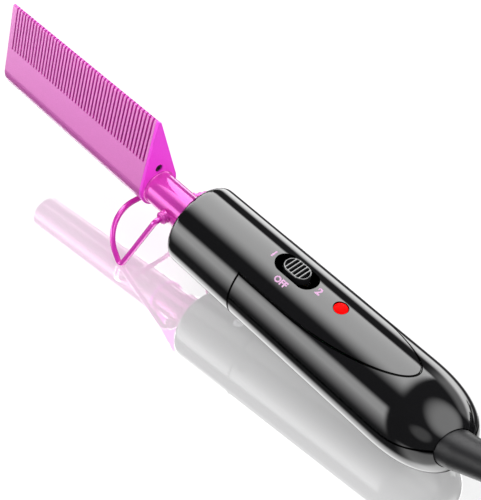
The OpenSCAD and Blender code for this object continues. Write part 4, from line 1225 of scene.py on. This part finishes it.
def panel(name, middle, right, up, width, height, radiance, glow=None):
    """An area light seen only by the glossy side of the finishes, which shines away from right x up. glow gives
    its strength from the place on it, in metres from its middle along right and up."""
    lamp = softbox(name, middle, width, height, radiance, "glossy")
    right, up = Vector(right).normalized(), Vector(up).normalized()
    lamp.matrix_world = Matrix.Translation(middle) @ Matrix((right, up, right.cross(up))).transposed().to_4x4()
    if glow:
        lamp.data.use_nodes = True
        tree = lamp.data.node_tree
        place = Value(tree, tree.nodes.new("ShaderNodeTexCoord").outputs["UV"])
        strength = glow((place.part("X") - 0.5) * width, (place.part("Y") - 0.5) * height)
        tree.links.new(strength.socket, tree.nodes["Emission"].inputs["Color"])
    return lamp


def shine_on(lamp, pieces, state):
    """A lamp lights only the pieces (INCLUDE) or everything but them (EXCLUDE)."""
    chosen = bpy.data.collections.new(lamp.name + "_receivers")
    for piece in pieces:
        chosen.objects.link(piece)
    for entry in chosen.collection_objects:
        entry.light_linking.link_state = state
    lamp.light_linking.receiver_collection = chosen


def round_glow(width, height):
    """A glow that fades from the middle to the edge of an ellipse."""
    return lambda x, y: 1 - (x * x * (width / 2) ** -2 + y * y * (height / 2) ** -2).between(0.1, 1.0)


floor = make_floor()
comb = frame["nodes"]["comb_head"]
make_world()
AIM = Vector((-0.03, 0, 0.03))
ALONG_X, ALONG_Y, ALONG_Z = (1, 0, 0), (0, 1, 0), (0, 0, 1)
softbox("fill_above", AIM + Vector((0.1, 0.1, 1.2)), 1.2, 1.2, 0.9, "diffuse")
softbox("fill_side", AIM + Vector((-0.3, 1.1, 0.7)), 0.9, 0.9, 0.8, "diffuse")
softbox("fill_back", AIM + Vector((-1.1, -0.1, 0.5)), 0.9, 0.9, 2.6, "diffuse")
shine_on(panel("white_above", (0, 0, 0.5), ALONG_X, ALONG_Y, 12, 12, 1.0), [floor], "INCLUDE")
shine_on(panel("comb_rim", (0.7, -0.04, -0.9), ALONG_Y, ALONG_X, 0.25, 2.6, 3.2), [comb], "INCLUDE")
# Panels whose shaped glow draws the long highlights and the round ones on the gloss
BANDS = [
    panel("band_above", (1.4, -0.5, 1), ALONG_X, ALONG_Y, 3.2, 2.4, 7.5,
          lambda x, y: x.between(-1.52, -1.4) * y.rise_and_fall(-1.0, -0.65, 0.42, 1.15)),
    panel("band_side", (1.4, 1, -0.05), ALONG_Z, ALONG_X, 1.4, 3.0, 6.2,
          lambda z, x: x.between(-1.4, -1.33) * (1 - z.between(0.38, 0.65))
          * (z * 1.22 + 0.793).math("MAXIMUM", 0).math("MINIMUM", 1) ** 2),
    panel("line_far", (1.0, -1.2, 0), ALONG_X, ALONG_Z, 4.0, 0.74, 4.2,
          lambda x, z: z.rise_and_fall(-0.35, -0.12, 0.11, 0.36)),
    panel("rim_below", (0.2, 0.3, -1), ALONG_Y, ALONG_X, 4.2, 5.6, 2.4,
          lambda y, x: y.rise_and_fall(-0.75, -0.4, -0.02, 0.3) + y.rise_and_fall(-2.1, -1.4, -1.1, -0.9) * 0.45
          + x.rise_and_fall(-2.8, -1.8, -0.55, -0.2) * y.rise_and_fall(-0.5, 0.0, 1.3, 2.1) * 0.8),
    panel("spot_tail", (-0.80, -0.04, 0.76), (0, -1, 0), (0.7, 0, 0.75), 1.8, 1.4, 3.8, round_glow(1.8, 1.4)),
    panel("spot_low", (-0.53, 0.82, 0.33), (-0.85, -0.53, 0), ALONG_Z, 0.6, 0.6, 1.0, round_glow(0.6, 0.6)),
    panel("far_tail", (-0.45, -1.0, 0.4), ALONG_X, ALONG_Z, 1.2, 1.0, 1.6,
          lambda x, z: x.rise_and_fall(-0.6, -0.3, 0.3, 0.55) * z.rise_and_fall(-0.5, -0.3, 0.1, 0.5)),
]
for lamp in BANDS:
    shine_on(lamp, [floor, comb] if lamp.name == "rim_below" else [floor], "EXCLUDE")

scene = bpy.context.scene
scene.view_settings.view_transform = "Standard"
